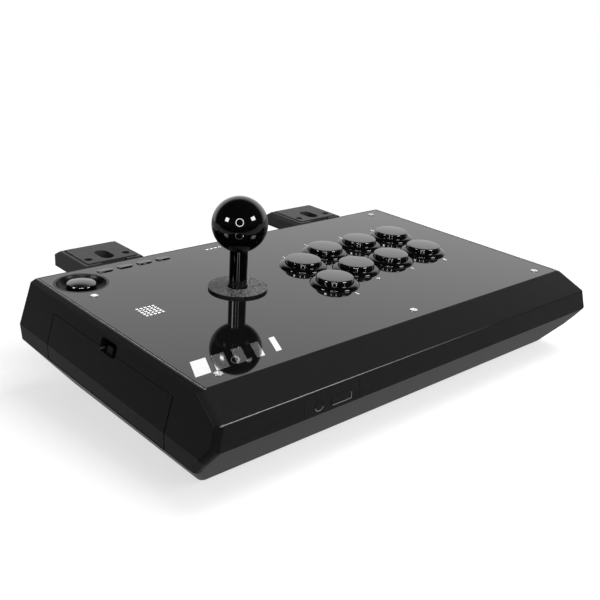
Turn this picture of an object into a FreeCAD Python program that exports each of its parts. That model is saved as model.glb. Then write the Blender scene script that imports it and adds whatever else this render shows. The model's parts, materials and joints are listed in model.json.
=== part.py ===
import FreeCAD, Part
import math
import os
from FreeCAD import Vector

# Compact eight-button arcade stick, in millimetres.
# Modelled about the centre of the panel's top face, X right, Y back, Z up, then lifted onto its feet.
# Panel pieces are drawn flat, with height above the panel as Z, and tilted into place afterwards.

# Panel stack
PANEL_TILT = 5.07
PANEL_W = 314.0
PANEL_D = 182.8
COVER_T = 2.0
PLATE_T = 1.6
PANEL_GAP = 0.6

# Case outline: sides seen along the panel, then front and back seen from the side
CASE_H = 64.0
WALL = 2.5
RIM_SIDE = 1.7
RIM_BACK = 0.5
RIM_FRONT = 0.2
STRIP_W = 3.1
STRIP_DROP = 1.6
SIDE_FLARE = 7.9
SIDE_DROP = 28.2
BAND_H = 10.4
BAND_IN = 0.4
TAPER_DEG = 38.5
LIP_RUN = 19.5
LIP_DROP = 11.7
FRONT_LEAN = 0.6
FACE_H = 13.85
FRONT_TAPER_RUN = 28.4
BACK_LEAN = 5.6
BACK_DROP = 30.1
BACK_BAND_H = 11.0
BACK_BAND_IN = 0.5
BACK_TAPER_RUN = 19.2
FRONT_CORNER_R = 4.5
BACK_CORNER_R = 1.0
RIDGE_R = 1.5
EDGE_R = 0.8

# Shell and tray
LEDGE_W = 5.0
LEDGE_T = 2.5
PARTING_GAP = 0.3
TRAY_STRIP = 5.0
POST_R = 4.5
RIB_T = 2.5
CASE_POST_FRONT_INSET_X = 38.0
CASE_POST_FRONT_INSET_Y = 17.4
CASE_POST_BACK_INSET_X = 57.0
CASE_POST_BACK_INSET_Y = 23.4
CASE_POST_TOP = 14.0
FOOT_R = 9.0
FOOT_T = 2.5
FOOT_INSET_X = 35.0
FOOT_FRONT_INSET = 29.4
FOOT_BACK_INSET = 35.4

# Fasteners
SCREW_R = 1.5
SCREW_HEAD_R = 2.5
SCREW_HEAD_T = 0.5
SCREW_SOCKET = 0.9
SCREW_SOCKET_DEEP = 0.3
SCREW_LONG = 9.0
TRAY_HEAD_R = 3.0
TRAY_HEAD_T = 2.0
TRAY_SCREW_BITE = 8.0
CLOSE_FIT = 0.05
PANEL_SCREW_INSET_X = 14.5
PANEL_SCREW_INSET_Y = 8.9
PANEL_SCREW_MID_X = 9.8
PANEL_SCREW_LEFT_INSET = 45.6

# Push buttons
BUTTON_PITCH = 36.0
BUTTON_X = 38.2
BUTTON_Y = 29.6
THUMB_DX = -32.8
THUMB_DY = -12.5
ROW_DX = -5.2
ROW_DY = -37.6
RIM_R = 17.0
RIM_H = 2.3
RIM_EDGE = 1.0
RIM_TOP_R = 13.6
RIM_ROUND = 0.3
RIM_BOW = 0.2
BARREL_R = 14.8
BARREL_L = 16.0
HOLE_GAP = 0.2
PLUNGER_R = 12.65
PLUNGER_GAP = 0.35
PLUNGER_RISE = 3.7
PLUNGER_ROUND = 0.5
PLUNGER_CROWN = 0.5
PLUNGER_SKIRT = 4.0
BUTTON_TRAVEL = 3.0
STEM_R = 3.0
TAB_OUT = 1.3
TAB_W = 5.0
TAB_H = 3.0
SWITCH_L = 20.0
SWITCH_W = 6.4
SWITCH_H = 10.0
BLADE_W = 4.8
BLADE_T = 0.8
BLADE_L = 6.0

# Home button
HOME_INSET_X = 18.7
HOME_INSET_Y = 21.3
HOME_R = 17.25
HOME_RIM = 1.4
HOME_BOWL = 0.9
HOME_FLOOR = 1.0
HOME_BARREL_R = 15.8
HOME_BARREL_L = 14.0
HOME_DISH = 4.5
HOME_CAP_R = 9.4
HOME_CAP_GAP = 0.35
HOME_CAP_RISE = 1.5
HOME_CAP_ROUND = 1.0
HOME_CAP_CROWN = 1.2
HOME_CAP_SKIRT = 8.0
HOME_TRAVEL = 2.0

# Option buttons and indicators along the back edge
OPTION_INSET_X = 42.2
OPTION_PITCH = 15.1
OPTION_COUNT = 4
OPTION_INSET_Y = 10.0
OPTION_L = 11.2
OPTION_W = 5.0
OPTION_GAP = 0.35
OPTION_RISE = 1.0
OPTION_BEVEL = 0.4
OPTION_FLANGE = 0.8
OPTION_FLANGE_T = 1.0
OPTION_TRAVEL = 0.8
OPTION_STEM_L = 1.2
TACT_SIZE = 5.0
TACT_H = 1.4
BOARD_T = 1.6
OPTION_STUD_DY = 7.5
STUD_R = 2.2
INDICATOR_DX = 83.5
INDICATOR_PITCH = 3.7
INDICATOR_COUNT = 4
INDICATOR_W = 2.6
INDICATOR_D = 1.2
INDICATOR_L = 2.6

# Lever
LEVER_X = -60.0
LEVER_Y = 7.9
BALL_R = 17.9
BALL_H = 43.3
BALL_FLAT_R = 6.4
SLEEVE_R = 5.9
SHAFT_R = 5.0
SHAFT_NECK_R = 4.0
PIVOT_DEPTH = 17.0
TILT_MAX = 9.0
SHAFT_HOLE_R = 12.0
WASHER_R = 19.25
WASHER_T = 1.4
WASHER_GAP = 0.7
UNDER_WASHER_R = 17.0
UNDER_WASHER_T = 1.2
SLIDE_GAP = 0.15
LEVER_PLATE_L = 82.0
LEVER_PLATE_W = 52.0
LEVER_PLATE_T = 1.6
LEVER_SCREW_X = 36.0
LEVER_SCREW_Y = 20.0
SPACER_R = 4.0
SPACER_H = 2.4
HOUSING_SIZE = 60.0
HOUSING_H = 22.0
BUSH_R = 9.0
BUSH_HALF = 6.5
MOVE_GAP = 0.3
SPRING_COIL_R = 7.2
SPRING_WIRE_R = 0.6
SPRING_TURN_COUNT = 4
SPRING_SECTION_COUNT = 12
SPRING_LENGTH = 10.0
CHAMBER_R = 22.0
ACTUATOR_R = 8.5
ACTUATOR_L = 12.0
LEVER_SWITCH_H = 10.0
GATE_T = 3.0
CLIP_T = 1.0
CLIP_R = 7.5
CLIP_MOUTH = 5.6

# Side compartment and its door
DOOR_FRONT_INSET = 17.7
DOOR_BACK_INSET = 35.9
DOOR_TOP = 10.2
DOOR_T = 3.0
DOOR_GAP = 0.35
DOOR_END_GAP = 0.8
DOOR_ROLL_R = 0.9
PIN_R = 0.6
PIN_L = 3.0
PIN_GAP = 0.1
HINGE_BOSS = 6.0
NOTCH_SHIFT = 0.4
NOTCH_L = 17.0
NOTCH_R = 2.5
NOTCH_TOP = 4.2
NOTCH_LOW = 12.4
NOTCH_DEEP = 6.5
LATCH_W = 5.6
LATCH_TOP = 8.0
LATCH_T = 1.5
TUB_DEEP = 38.0
TUB_WALL = 1.6

# Front port cover
PORT_INSET_X = 68.2
PORT_W = 41.0
PORT_TOP_DROP = 1.2
PORT_R = 3.0
PORT_GAP = 0.15
PORT_FLANGE = 2.0
PORT_ROUND_DX = -10.0
PORT_ROUND_R = 3.25
PORT_SLOT_DX = 6.6
PORT_SLOT_W = 15.6
PORT_SLOT_H = 6.2
PORT_MARK_DROP = 8.8
PORT_MARK_DEEP = 0.25
PORT_MARK_W = 0.6

# Rear cleats
CLEAT_INSET = 59.1
CLEAT_SHIFT = 1.1
CLEAT_STANDOFF = 8.1
CLEAT_LENGTH = 41.5
CLEAT_DROP = 1.3
CLEAT_PROUD = 0.6
CLEAT_TOP_W = 44.0
CLEAT_CHAMFER_W = 2.5
CLEAT_CHAMFER_H = 2.8
CLEAT_REAR_RUN = 3.4
CLEAT_H = 11.2
CLEAT_BITE_W = 20.0
CLEAT_BITE_D = 2.4
NECK_W = 22.0
NECK_H = 7.0
NECK_DROP = 5.0
CLEAT_COVER_W = 38.4
CLEAT_COVER_INSET = 2.7
CLEAT_COVER_L = 34.2
CLEAT_COVER_T = 1.6
CLEAT_COVER_GAP = 0.3
SLOT_DY = 15.0
SLOT_L = 18.0
SLOT_W = 10.0
SLOT_STEP = 3.0
CLEAT_SCREW_DX = 14.8
CLEAT_SCREW_DY = 10.5
CLEAT_SCREW_R = 2.6
CLEAT_SCREW_T = 0.4
CLEAT_SCREW_L = 6.0
NECK_SCREW_DX = 6.5
NECK_SCREW_L = 12.0

# Cable inlet
INLET_DROP = 15.0
INLET_BORE_R = 3.2
INLET_BODY_R = 5.6
INLET_FLANGE_R = 8.0
INLET_FLANGE_T = 2.0
INLET_INNER = 4.0

# Main board
MAIN_BOARD_X = 62.0
MAIN_BOARD_Y = 10.0
MAIN_BOARD_W = 90.0
MAIN_BOARD_D = 56.0
STANDOFF_H = 5.0
STANDOFF_R = 3.0
STANDOFF_INSET = 5.0
CHIP_H = 4.0

# Values worked out from the sizes above
TILT = math.radians(PANEL_TILT)
STACK = COVER_T + PLATE_T
LEDGE_LOW = STACK + LEDGE_T
SIDE_TOP_X = PANEL_W / 2 + PANEL_GAP + RIM_SIDE
FAR = 4 * PANEL_W
DOOR_Y0 = DOOR_FRONT_INSET - PANEL_D / 2
DOOR_Y1 = PANEL_D / 2 - DOOR_BACK_INSET
NOTCH_Y = (DOOR_Y0 + DOOR_Y1) / 2 + NOTCH_SHIFT
HOME_X = HOME_INSET_X - PANEL_W / 2
HOME_Y = PANEL_D / 2 - HOME_INSET_Y
OPTION_X = OPTION_INSET_X - PANEL_W / 2
OPTION_Y = PANEL_D / 2 - OPTION_INSET_Y
PORT_X = PORT_INSET_X - PANEL_W / 2
CLEAT_X = PANEL_W / 2 - CLEAT_INSET
CLEAT_Y0 = PANEL_D / 2 + CLEAT_STANDOFF
CLEAT_REAR = CLEAT_Y0 + CLEAT_LENGTH
CLEAT_RIM = CLEAT_DROP + CLEAT_PROUD
CLEAT_LOW = CLEAT_RIM + CLEAT_H
CLEAT_SEAT = CLEAT_DROP + CLEAT_COVER_T
LEVER_PLATE_TOP = STACK + SPACER_H
HOUSING_TOP = LEVER_PLATE_TOP + LEVER_PLATE_T
HOUSING_LOW = HOUSING_TOP + HOUSING_H
LEVER_BOARD_LOW = HOUSING_LOW + BOARD_T
GATE_TOP = LEVER_BOARD_LOW + LEVER_SWITCH_H
GATE_LOW = GATE_TOP + GATE_T
BUSH_LOW = PIVOT_DEPTH + BUSH_HALF
TILT_SLOPE = math.tan(math.radians(TILT_MAX))
SLEEVE_LOW = PIVOT_DEPTH - BUSH_HALF - MOVE_GAP - SLEEVE_R * TILT_SLOPE
CORNER_SLOPE = math.sqrt(2) * TILT_SLOPE
SPRING_TOP = BUSH_LOW + SPRING_WIRE_R + MOVE_GAP + (SPRING_COIL_R + SPRING_WIRE_R) * CORNER_SLOPE
ACTUATOR_TOP = SPRING_TOP + SPRING_LENGTH + CLOSE_FIT
ACTUATOR_LOW = ACTUATOR_TOP + ACTUATOR_L
QUARTER_BOW = 1 - math.sqrt(0.5)
BALL_LOW = BALL_H - math.sqrt(BALL_R ** 2 - BALL_FLAT_R ** 2)


def box(x0, x1, y0, y1, z0, z1):
    """A block between two corners."""
    return Part.makeBox(x1 - x0, y1 - y0, z1 - z0, Vector(x0, y0, z0))


def rod(radius, z0, z1, x=0.0, y=0.0):
    """An upright cylinder."""
    return Part.makeCylinder(radius, z1 - z0, Vector(x, y, z0))


def turned(profile, x=0.0, y=0.0):
    """A solid of revolution from (radius, height) points; a third number bows the side before its point."""
    points = [Vector(entry[0], 0, entry[1]) for entry in profile]
    edges = []
    for i, end in enumerate(points):
        start = points[i - 1]
        if len(profile[i]) == 3:
            way = (end - start).normalize()
            middle = (start + end) * 0.5 + Vector(-way.z, 0, way.x) * profile[i][2]
            edges.append(Part.Arc(start, middle, end).toShape())
        else:
            edges.append(Part.makeLine(start, end))
    solid = Part.Face(Part.Wire(edges)).revolve(Vector(0, 0, 0), Vector(0, 0, 1), 360)
    solid.translate(Vector(x, y, 0))
    return solid


def dome_bow(radius, rise):
    """How far a dome's side bows out from the straight line between its edge and its top."""
    ball = (radius * radius + rise * rise) / (2 * rise)
    return ball - math.sqrt(ball * ball - (radius * radius + rise * rise) / 4)


def tilted(shape):
    """Turns a shape drawn on a level panel to the panel's own slope."""
    turned_shape = shape.copy()
    turned_shape.rotate(Vector(0, 0, 0), Vector(1, 0, 0), PANEL_TILT)
    return turned_shape


def moved(shape, x=0.0, y=0.0, z=0.0):
    """A shifted copy."""
    copy = shape.copy()
    copy.translate(Vector(x, y, z))
    return copy


def fused(shapes):
    """One solid from overlapping pieces."""
    return shapes[0].multiFuse(shapes[1:]).removeSplitter()


def inset(points, distance):
    """Moves every side of a convex outline inwards by a distance."""
    count = len(points)
    area = sum(points[i - 1][0] * points[i][1] - points[i][0] * points[i - 1][1] for i in range(count))
    turn = 1 if area > 0 else -1
    lines = []
    for i in range(count):
        (ax, ay), (bx, by) = points[i], points[(i + 1) % count]
        length = math.hypot(bx - ax, by - ay)
        nx, ny = -turn * (by - ay) / length, turn * (bx - ax) / length
        lines.append((nx, ny, nx * ax + ny * ay + distance))
    corners = []
    for i in range(count):
        (a, b, e), (c, d, f) = lines[i - 1], lines[i]
        scale = a * d - b * c
        corners.append(((e * d - b * f) / scale, (a * f - e * c) / scale))
    return corners


def outline(points, radii):
    """A closed wire through points in one plane, with each corner rounded to its radius."""
    count = len(points)
    starts, middles, ends = [], [], []
    for i, corner in enumerate(points):
        before = (points[i - 1] - corner).normalize()
        after = (points[(i + 1) % count] - corner).normalize()
        half = before.getAngle(after) / 2
        reach = radii[i] / math.tan(half)
        bisector = (before + after).normalize()
        starts.append(corner + before * reach)
        ends.append(corner + after * reach)
        middles.append(corner + bisector * (radii[i] / math.sin(half) - radii[i]))
    edges = []
    for i in range(count):
        if radii[i] > 0:
            edges.append(Part.Arc(starts[i], middles[i], ends[i]).toShape())
        edges.append(Part.makeLine(ends[i], starts[(i + 1) % count]))
    return Part.Wire(edges)


def pill(x, y, length, width, z0, z1):
    """An upright slot-shaped prism, long along X."""
    radius = width / 2
    half = length / 2 - radius
    ends = [Vector(x + sx * half, y + sy * radius, z0) for sx, sy in ((-1, -1), (1, -1), (1, 1), (-1, 1))]
    right, left = Vector(x + length / 2, y, z0), Vector(x - length / 2, y, z0)
    edges = [Part.makeLine(ends[0], ends[1]), Part.Arc(ends[1], right, ends[2]).toShape(),
             Part.makeLine(ends[2], ends[3]), Part.Arc(ends[3], left, ends[0]).toShape()]
    return Part.Face(Part.Wire(edges)).extrude(Vector(0, 0, z1 - z0))


def slab(x, y, width, depth, radius, z0, z1):
    """An upright rounded rectangle."""
    half, deep = width / 2, depth / 2
    points = [Vector(x + sx * half, y + sy * deep, z0) for sx, sy in ((-1, -1), (1, -1), (1, 1), (-1, 1))]
    return Part.Face(outline(points, [radius] * 4)).extrude(Vector(0, 0, z1 - z0))


def side_points():
    """The right half of the case seen along the panel, as (x, height), from the rim down."""
    strip = (SIDE_TOP_X + STRIP_W, -STRIP_DROP)
    widest = (strip[0] + SIDE_FLARE, strip[1] - SIDE_DROP)
    band = (widest[0] - BAND_IN, widest[1] - BAND_H)
    reach = CASE_H
    low = (band[0] - reach * math.tan(math.radians(TAPER_DEG)), band[1] - reach)
    return [(SIDE_TOP_X, 0.0), strip, widest, band, low]


SIDE = side_points()
PARTING = -SIDE[3][1]


def side_x(depth):
    """How far out the case's side is at a depth under the panel's top."""
    for (ax, az), (bx, bz) in zip(SIDE, SIDE[1:]):
        if bz <= -depth <= az:
            return ax + (bx - ax) * (az + depth) / (az - bz)
    return SIDE[-1][0]


def length_points():
    """The case seen from the right, as (y, height), from the panel's front edge round underneath."""
    front = PANEL_D / 2 + PANEL_GAP + RIM_FRONT
    back = PANEL_D / 2 + PANEL_GAP + RIM_BACK
    edge = (-front * math.cos(TILT), -front * math.sin(TILT))
    ridge = (edge[0] - LIP_RUN, edge[1] - LIP_DROP)
    low = (ridge[0] - FRONT_LEAN, ridge[1] - FACE_H)
    base_front = (low[0] + FRONT_TAPER_RUN, -CASE_H)
    top = (back * math.cos(TILT), back * math.sin(TILT))
    widest = (top[0] + BACK_LEAN, top[1] - BACK_DROP)
    band = (widest[0] - BACK_BAND_IN, widest[1] - BACK_BAND_H)
    base_back = (band[0] - BACK_TAPER_RUN, -CASE_H)
    return [edge, ridge, low, base_front, base_back, band, widest, top]


LENGTH = length_points()
FRONT_REACH = -LENGTH[2][0]
REAR_REACH = CLEAT_REAR * math.cos(TILT) + CLEAT_LOW * math.sin(TILT)
ORIGIN = Vector(0, (FRONT_REACH - REAR_REACH) / 2, CASE_H + FOOT_T)


def prism_along(points):
    """A bar across the whole width with an outline given as (y, height)."""
    ring = [Vector(-FAR / 2, y, z) for y, z in points]
    return Part.Face(Part.makePolygon(ring + ring[:1])).extrude(Vector(FAR, 0, 0))


def case_solid(depth):
    """The whole case as one sharp-edged block, inset by a depth."""
    side = SIDE + [(-x, z) for x, z in reversed(SIDE)]
    ring = [Vector(x, -FAR / 2, z) for x, z in inset(side, depth)]
    across = Part.Face(Part.makePolygon(ring + ring[:1])).extrude(Vector(0, FAR, 0))
    return tilted(across).common(prism_along(inset(LENGTH, depth)))


def corner_edges(solid, end):
    """The edges where the case's sides meet its front (end -1) or its back (end 1)."""
    panel_way = Vector(0, math.cos(TILT), math.sin(TILT))
    chosen = []
    for edge in solid.Edges:
        way = edge.tangentAt(edge.FirstParameter)
        straight = abs(way.x) > 0.9999 or abs(way.dot(panel_way)) > 0.9999
        if not straight and edge.BoundBox.ZMax > WALL - CASE_H and edge.CenterOfMass.y * end > 0:
            chosen.append(edge)
    return chosen


def ridge_edges(solid):
    """The long edge where the front's slope turns down."""
    chosen = []
    for edge in solid.Edges:
        middle = edge.CenterOfMass
        near = math.hypot(middle.y - LENGTH[1][0], middle.z - LENGTH[1][1]) < CLOSE_FIT
        if near and edge.Length > PANEL_W / 2:
            chosen.append(edge)
    return chosen


def rounded_case():
    """The case block with its four corners and its front ridge rounded."""
    block = case_solid(0.0)
    block = block.makeFillet(FRONT_CORNER_R, corner_edges(block, -1))
    block = block.makeFillet(BACK_CORNER_R, corner_edges(block, 1))
    return block.makeFillet(RIDGE_R, ridge_edges(block))


def below(depth, gap=0.0):
    """All the space under a plane parallel to the panel."""
    return tilted(box(-FAR / 2, FAR / 2, -FAR / 2, FAR / 2, -FAR, -depth + gap))


def front_taper():
    """The outward direction of the front's lower taper."""
    low, base = LENGTH[2], LENGTH[3]
    return Vector(0, base[1] - low[1], low[0] - base[0]).normalize()


def taper_corners(depth):
    """The corners of the front taper's face on the case inset by a depth."""
    outward = front_taper()
    face = max(case_solid(depth).Faces, key=lambda face: face.normalAt(0, 0).dot(outward))
    return [vertex.Point for vertex in face.OuterWire.OrderedVertexes]


def taper_strip():
    """The tray's share of the front taper: a slab whose edges are mitred to the faces around it."""
    outer, deep = taper_corners(0.0), taper_corners(TRAY_STRIP)
    inner = [min(deep, key=point.distanceToPoint) for point in outer]
    rings = [outer, inner]
    for i in range(len(outer)):
        rings.append([outer[i - 1], outer[i], inner[i], inner[i - 1]])
    return Part.Solid(Part.Shell([Part.Face(Part.makePolygon(ring + ring[:1])) for ring in rings]))


def tray_zone(gap):
    """The space that belongs to the tray: below the parting plane, and the front taper's strip."""
    inward = front_taper() * -gap
    strip = taper_strip()
    zone = below(PARTING, gap).fuse(strip)
    return zone.fuse(moved(strip, inward.x, inward.y, inward.z)) if gap else zone


OUTER = rounded_case()
INNER = case_solid(WALL)
SKIN = OUTER.cut(INNER)


def button_places():
    """Centres of the eight push buttons on the panel: upper row, then lower row, thumb button first."""
    upper = [(BUTTON_X + THUMB_DX, BUTTON_Y + THUMB_DY)]
    upper += [(BUTTON_X + i * BUTTON_PITCH, BUTTON_Y) for i in range(3)]
    return upper + [(x + ROW_DX, y + ROW_DY) for x, y in upper]


def panel_screw_places():
    """Panel screw centres, with the way that each post's rib runs to a wall."""
    x, y = PANEL_W / 2 - PANEL_SCREW_INSET_X, PANEL_D / 2 - PANEL_SCREW_INSET_Y
    left_y = PANEL_D / 2 - PANEL_SCREW_LEFT_INSET
    return [(-x, left_y, (-1, 0)), (-x, -y, (-1, 0)), (x, -y, (1, 0)), (x, y, (1, 0)),
            (PANEL_SCREW_MID_X, -y, (0, -1)), (PANEL_SCREW_MID_X, y, (0, 1))]


def option_places():
    """Centres of the small option buttons."""
    return [(OPTION_X + i * OPTION_PITCH, OPTION_Y) for i in range(OPTION_COUNT)]


def indicator_places():
    """Centres of the indicator lights."""
    return [(OPTION_X + INDICATOR_DX + i * INDICATOR_PITCH, OPTION_Y) for i in range(INDICATOR_COUNT)]


def case_post_places():
    """Posts where tray and shell are screwed together, with the way that each rib runs."""
    half, deep = PANEL_W / 2, PANEL_D / 2
    rows = ((half - CASE_POST_FRONT_INSET_X, CASE_POST_FRONT_INSET_Y - deep, -1),
            (half - CASE_POST_BACK_INSET_X, deep - CASE_POST_BACK_INSET_Y, 1))
    return [(side * x, y, way) for side in (-1, 1) for x, y, way in rows]


def rib(x, y, way, z0, z1):
    """A web from a post out to the wall that it faces."""
    reach = PANEL_W
    half = RIB_T / 2
    if way[0]:
        return box(min(x, x + way[0] * reach), max(x, x + way[0] * reach), y - half, y + half, z0, z1)
    return box(x - half, x + half, min(y, y + way[1] * reach), max(y, y + way[1] * reach), z0, z1)


def panel_holes(gap, shape, home_r):
    """Cuts the holes that the panel's two layers share."""
    low, high = -FAR, FAR
    tools = [rod(BARREL_R + HOLE_GAP, low, high, x, y) for x, y in button_places()]
    tools += [rod(SCREW_R + gap, low, high, x, y) for x, y, _ in panel_screw_places()]
    wide, deep = INDICATOR_W + 2 * CLOSE_FIT, INDICATOR_D + 2 * CLOSE_FIT
    tools += [pill(x, y, wide, deep, low, high) for x, y in indicator_places()]
    for x, y in option_places():
        tools.append(pill(x, y, OPTION_L + 2 * OPTION_GAP, OPTION_W + 2 * OPTION_GAP, low, high))
    tools.append(rod(SHAFT_HOLE_R, low, high, LEVER_X, LEVER_Y))
    tools.append(rod(home_r, low, high, HOME_X, HOME_Y))
    return shape.cut(Part.makeCompound(tools))


def panel_pieces():
    """The glossy cover and the metal plate under it, drawn level."""
    half_w, half_d = PANEL_W / 2, PANEL_D / 2
    cover = box(-half_w, half_w, -half_d, half_d, -COVER_T, 0)
    cover = panel_holes(HOLE_GAP, cover, HOME_R + HOLE_GAP)
    plate = box(-half_w, half_w, -half_d, half_d, -STACK, -COVER_T)
    plate = panel_holes(HOLE_GAP, plate, HOME_BARREL_R + HOLE_GAP)
    heads = [rod(SPACER_R - HOLE_GAP, -COVER_T - PLATE_T / 2, 0, x, y) for x, y in lever_screw_places()]
    shanks = [rod(SCREW_R + CLOSE_FIT, -FAR, 0, x, y) for x, y in lever_screw_places()]
    plate = plate.cut(Part.makeCompound(heads + shanks))
    studs = [rod(STUD_R, -option_board_top(), -STACK, x, y) for x, y in option_stud_places()]
    return cover, fused([plate] + studs)


def lever_screw_places():
    """Screws that hold the lever's plate under the panel."""
    return [(LEVER_X + sx * LEVER_SCREW_X, LEVER_Y + sy * LEVER_SCREW_Y) for sx in (-1, 1) for sy in (-1, 1)]


def option_board_top():
    """Depth of the option board's upper face."""
    cap_low = STACK + OPTION_GAP + OPTION_FLANGE_T + OPTION_STEM_L
    return cap_low + OPTION_TRAVEL + OPTION_GAP + TACT_H


def option_stud_places():
    """Studs in front of the option buttons that carry their board."""
    return [(OPTION_X + i * OPTION_PITCH, OPTION_Y - OPTION_STUD_DY) for i in (0, OPTION_COUNT - 1)]


def upper_shell():
    """Moulded upper case: side, front and back walls, ledge under the panel, posts and apertures."""
    half_w, half_d = PANEL_W / 2 + PANEL_GAP, PANEL_D / 2 + PANEL_GAP
    recess = box(-half_w, half_w, -half_d, half_d, -STACK, FAR)
    open_w, open_d = PANEL_W / 2 - LEDGE_W, PANEL_D / 2 - LEDGE_W
    opening = box(-open_w, open_w, -open_d, open_d, -LEDGE_LOW, FAR)
    frame = box(-FAR / 2, FAR / 2, -FAR / 2, FAR / 2, -LEDGE_LOW, FAR)
    pieces = [SKIN, tilted(frame).common(OUTER).cut(tilted(opening))]
    post_low = -DOOR_TOP
    for x, y, way in panel_screw_places():
        web = rod(POST_R, post_low, -STACK, x, y).fuse(rib(x, y, way, post_low, -STACK))
        pieces.append(tilted(web).common(OUTER))
    for x, y, way in case_post_places():
        web = rod(POST_R, -CASE_H, 0, x, y).fuse(rib(x, y, (0, way), -CASE_H, 0))
        pieces.append(web.common(OUTER).common(below(CASE_POST_TOP)))
    notch_wall = box(-side_x(0) - FAR, -side_x(LATCH_TOP) + NOTCH_DEEP + WALL, NOTCH_Y - NOTCH_L / 2 - WALL,
                     NOTCH_Y + NOTCH_L / 2 + WALL, -DOOR_TOP, -STACK)
    pieces.append(tilted(notch_wall).common(OUTER))
    hinge_x, hinge_z = hinge_centre()
    boss_l = DOOR_END_GAP + HINGE_BOSS
    for y0, y1 in ((DOOR_Y0 - boss_l, DOOR_Y0), (DOOR_Y1, DOOR_Y1 + boss_l)):
        boss = box(-FAR, -hinge_x + HINGE_BOSS - DOOR_T, y0, y1, -PARTING, hinge_z + HINGE_BOSS / 2)
        pieces.append(tilted(boss).common(OUTER))
    shell = fused(pieces).cut(tilted(recess)).cut(tilted(opening))
    cuts = [tilted(tool) for tool in shell_cuts()] + [port_prism(PORT_GAP, PORT_GAP)]
    cuts += [placed_on_back(rod(INLET_BODY_R + HOLE_GAP, -CASE_H, CASE_H))]
    cuts += [rod(SCREW_R, -CASE_H, post_screw_top(y), x, y) for x, y, _ in case_post_places()]
    cuts.append(tray_zone(PARTING_GAP))
    for tool in cuts:
        shell = shell.cut(tool)
    for x, y, way in case_post_places():
        seat = rod(POST_R, -CASE_H, 0, x, y).cut(rod(SCREW_R, -CASE_H, 0, x, y))
        seam = below(PARTING, 2 * PARTING_GAP).cut(below(PARTING))
        shell = shell.fuse(seat.common(seam))
    return shell.removeSplitter()


def post_screw_top(y):
    """Height that a tray screw's tip reaches inside its post."""
    return y * math.tan(TILT) - PARTING / math.cos(TILT) + TRAY_SCREW_BITE


def hinge_centre():
    """The door's pin line beside the parting plane, as distance out and height."""
    height = -PARTING + PARTING_GAP + DOOR_ROLL_R
    return side_x(-height) - DOOR_ROLL_R, height


def side_normal():
    """The inward direction square to the leaning side."""
    length = math.hypot(SIDE_FLARE, SIDE_DROP)
    return -SIDE_DROP / length, -SIDE_FLARE / length


def shell_cuts():
    """Holes in the shell drawn on the level panel: door, notch, hinge pins and post screws."""
    top_x, top_z = side_x(DOOR_TOP), -DOOR_TOP
    nx, nz = side_normal()
    reach = TUB_DEEP / 2
    upper = (top_x + nz * -DOOR_GAP, top_z - nx * DOOR_GAP)
    points = [(upper[0] + nx * reach, upper[1] + nz * reach), (upper[0] - nx * reach, upper[1] - nz * reach),
              (upper[0] + reach, -PARTING - DOOR_GAP), (upper[0] + nx * reach, -PARTING - DOOR_GAP)]
    ring = [Vector(-x, DOOR_Y0 - DOOR_END_GAP, z) for x, z in points]
    face = Part.Face(Part.makePolygon(ring + ring[:1]))
    tools = [face.extrude(Vector(0, DOOR_Y1 - DOOR_Y0 + 2 * DOOR_END_GAP, 0)), finger_notch()]
    tools.append(door_pins(PIN_R + PIN_GAP, PIN_L + DOOR_GAP))
    tools += [rod(SCREW_R, -FAR, FAR, x, y) for x, y, _ in panel_screw_places()]
    tools.append(rod(HOME_BARREL_R + OPTION_GAP, -LEDGE_LOW, 0, HOME_X, HOME_Y))
    for side in (-1, 1):
        for x, y, z in neck_screw_places(side):
            tools.append(Part.makeCylinder(SCREW_R, FAR, Vector(x, 0, z), Vector(0, 1, 0)))
    return tools


def finger_notch():
    """The rounded pocket over the door's upper edge, drawn on the level panel."""
    back = -side_x(LATCH_TOP) + NOTCH_DEEP
    corners = ((-1, -NOTCH_LOW), (1, -NOTCH_LOW), (1, -NOTCH_TOP), (-1, -NOTCH_TOP))
    ring = [Vector(back, NOTCH_Y + way * NOTCH_L / 2, z) for way, z in corners]
    return Part.Face(outline(ring, [NOTCH_R] * 4)).extrude(Vector(-FAR, 0, 0))


def door_pins(radius, length):
    """The door's two hinge pins, drawn on the level panel."""
    x, z = hinge_centre()
    way = Vector(0, 1, 0)
    front = Part.makeCylinder(radius, length + DOOR_T, Vector(-x, DOOR_Y0 - length, z), way)
    back = Part.makeCylinder(radius, length + DOOR_T, Vector(-x, DOOR_Y1 - DOOR_T, z), way)
    return Part.makeCompound([front, back])


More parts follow.
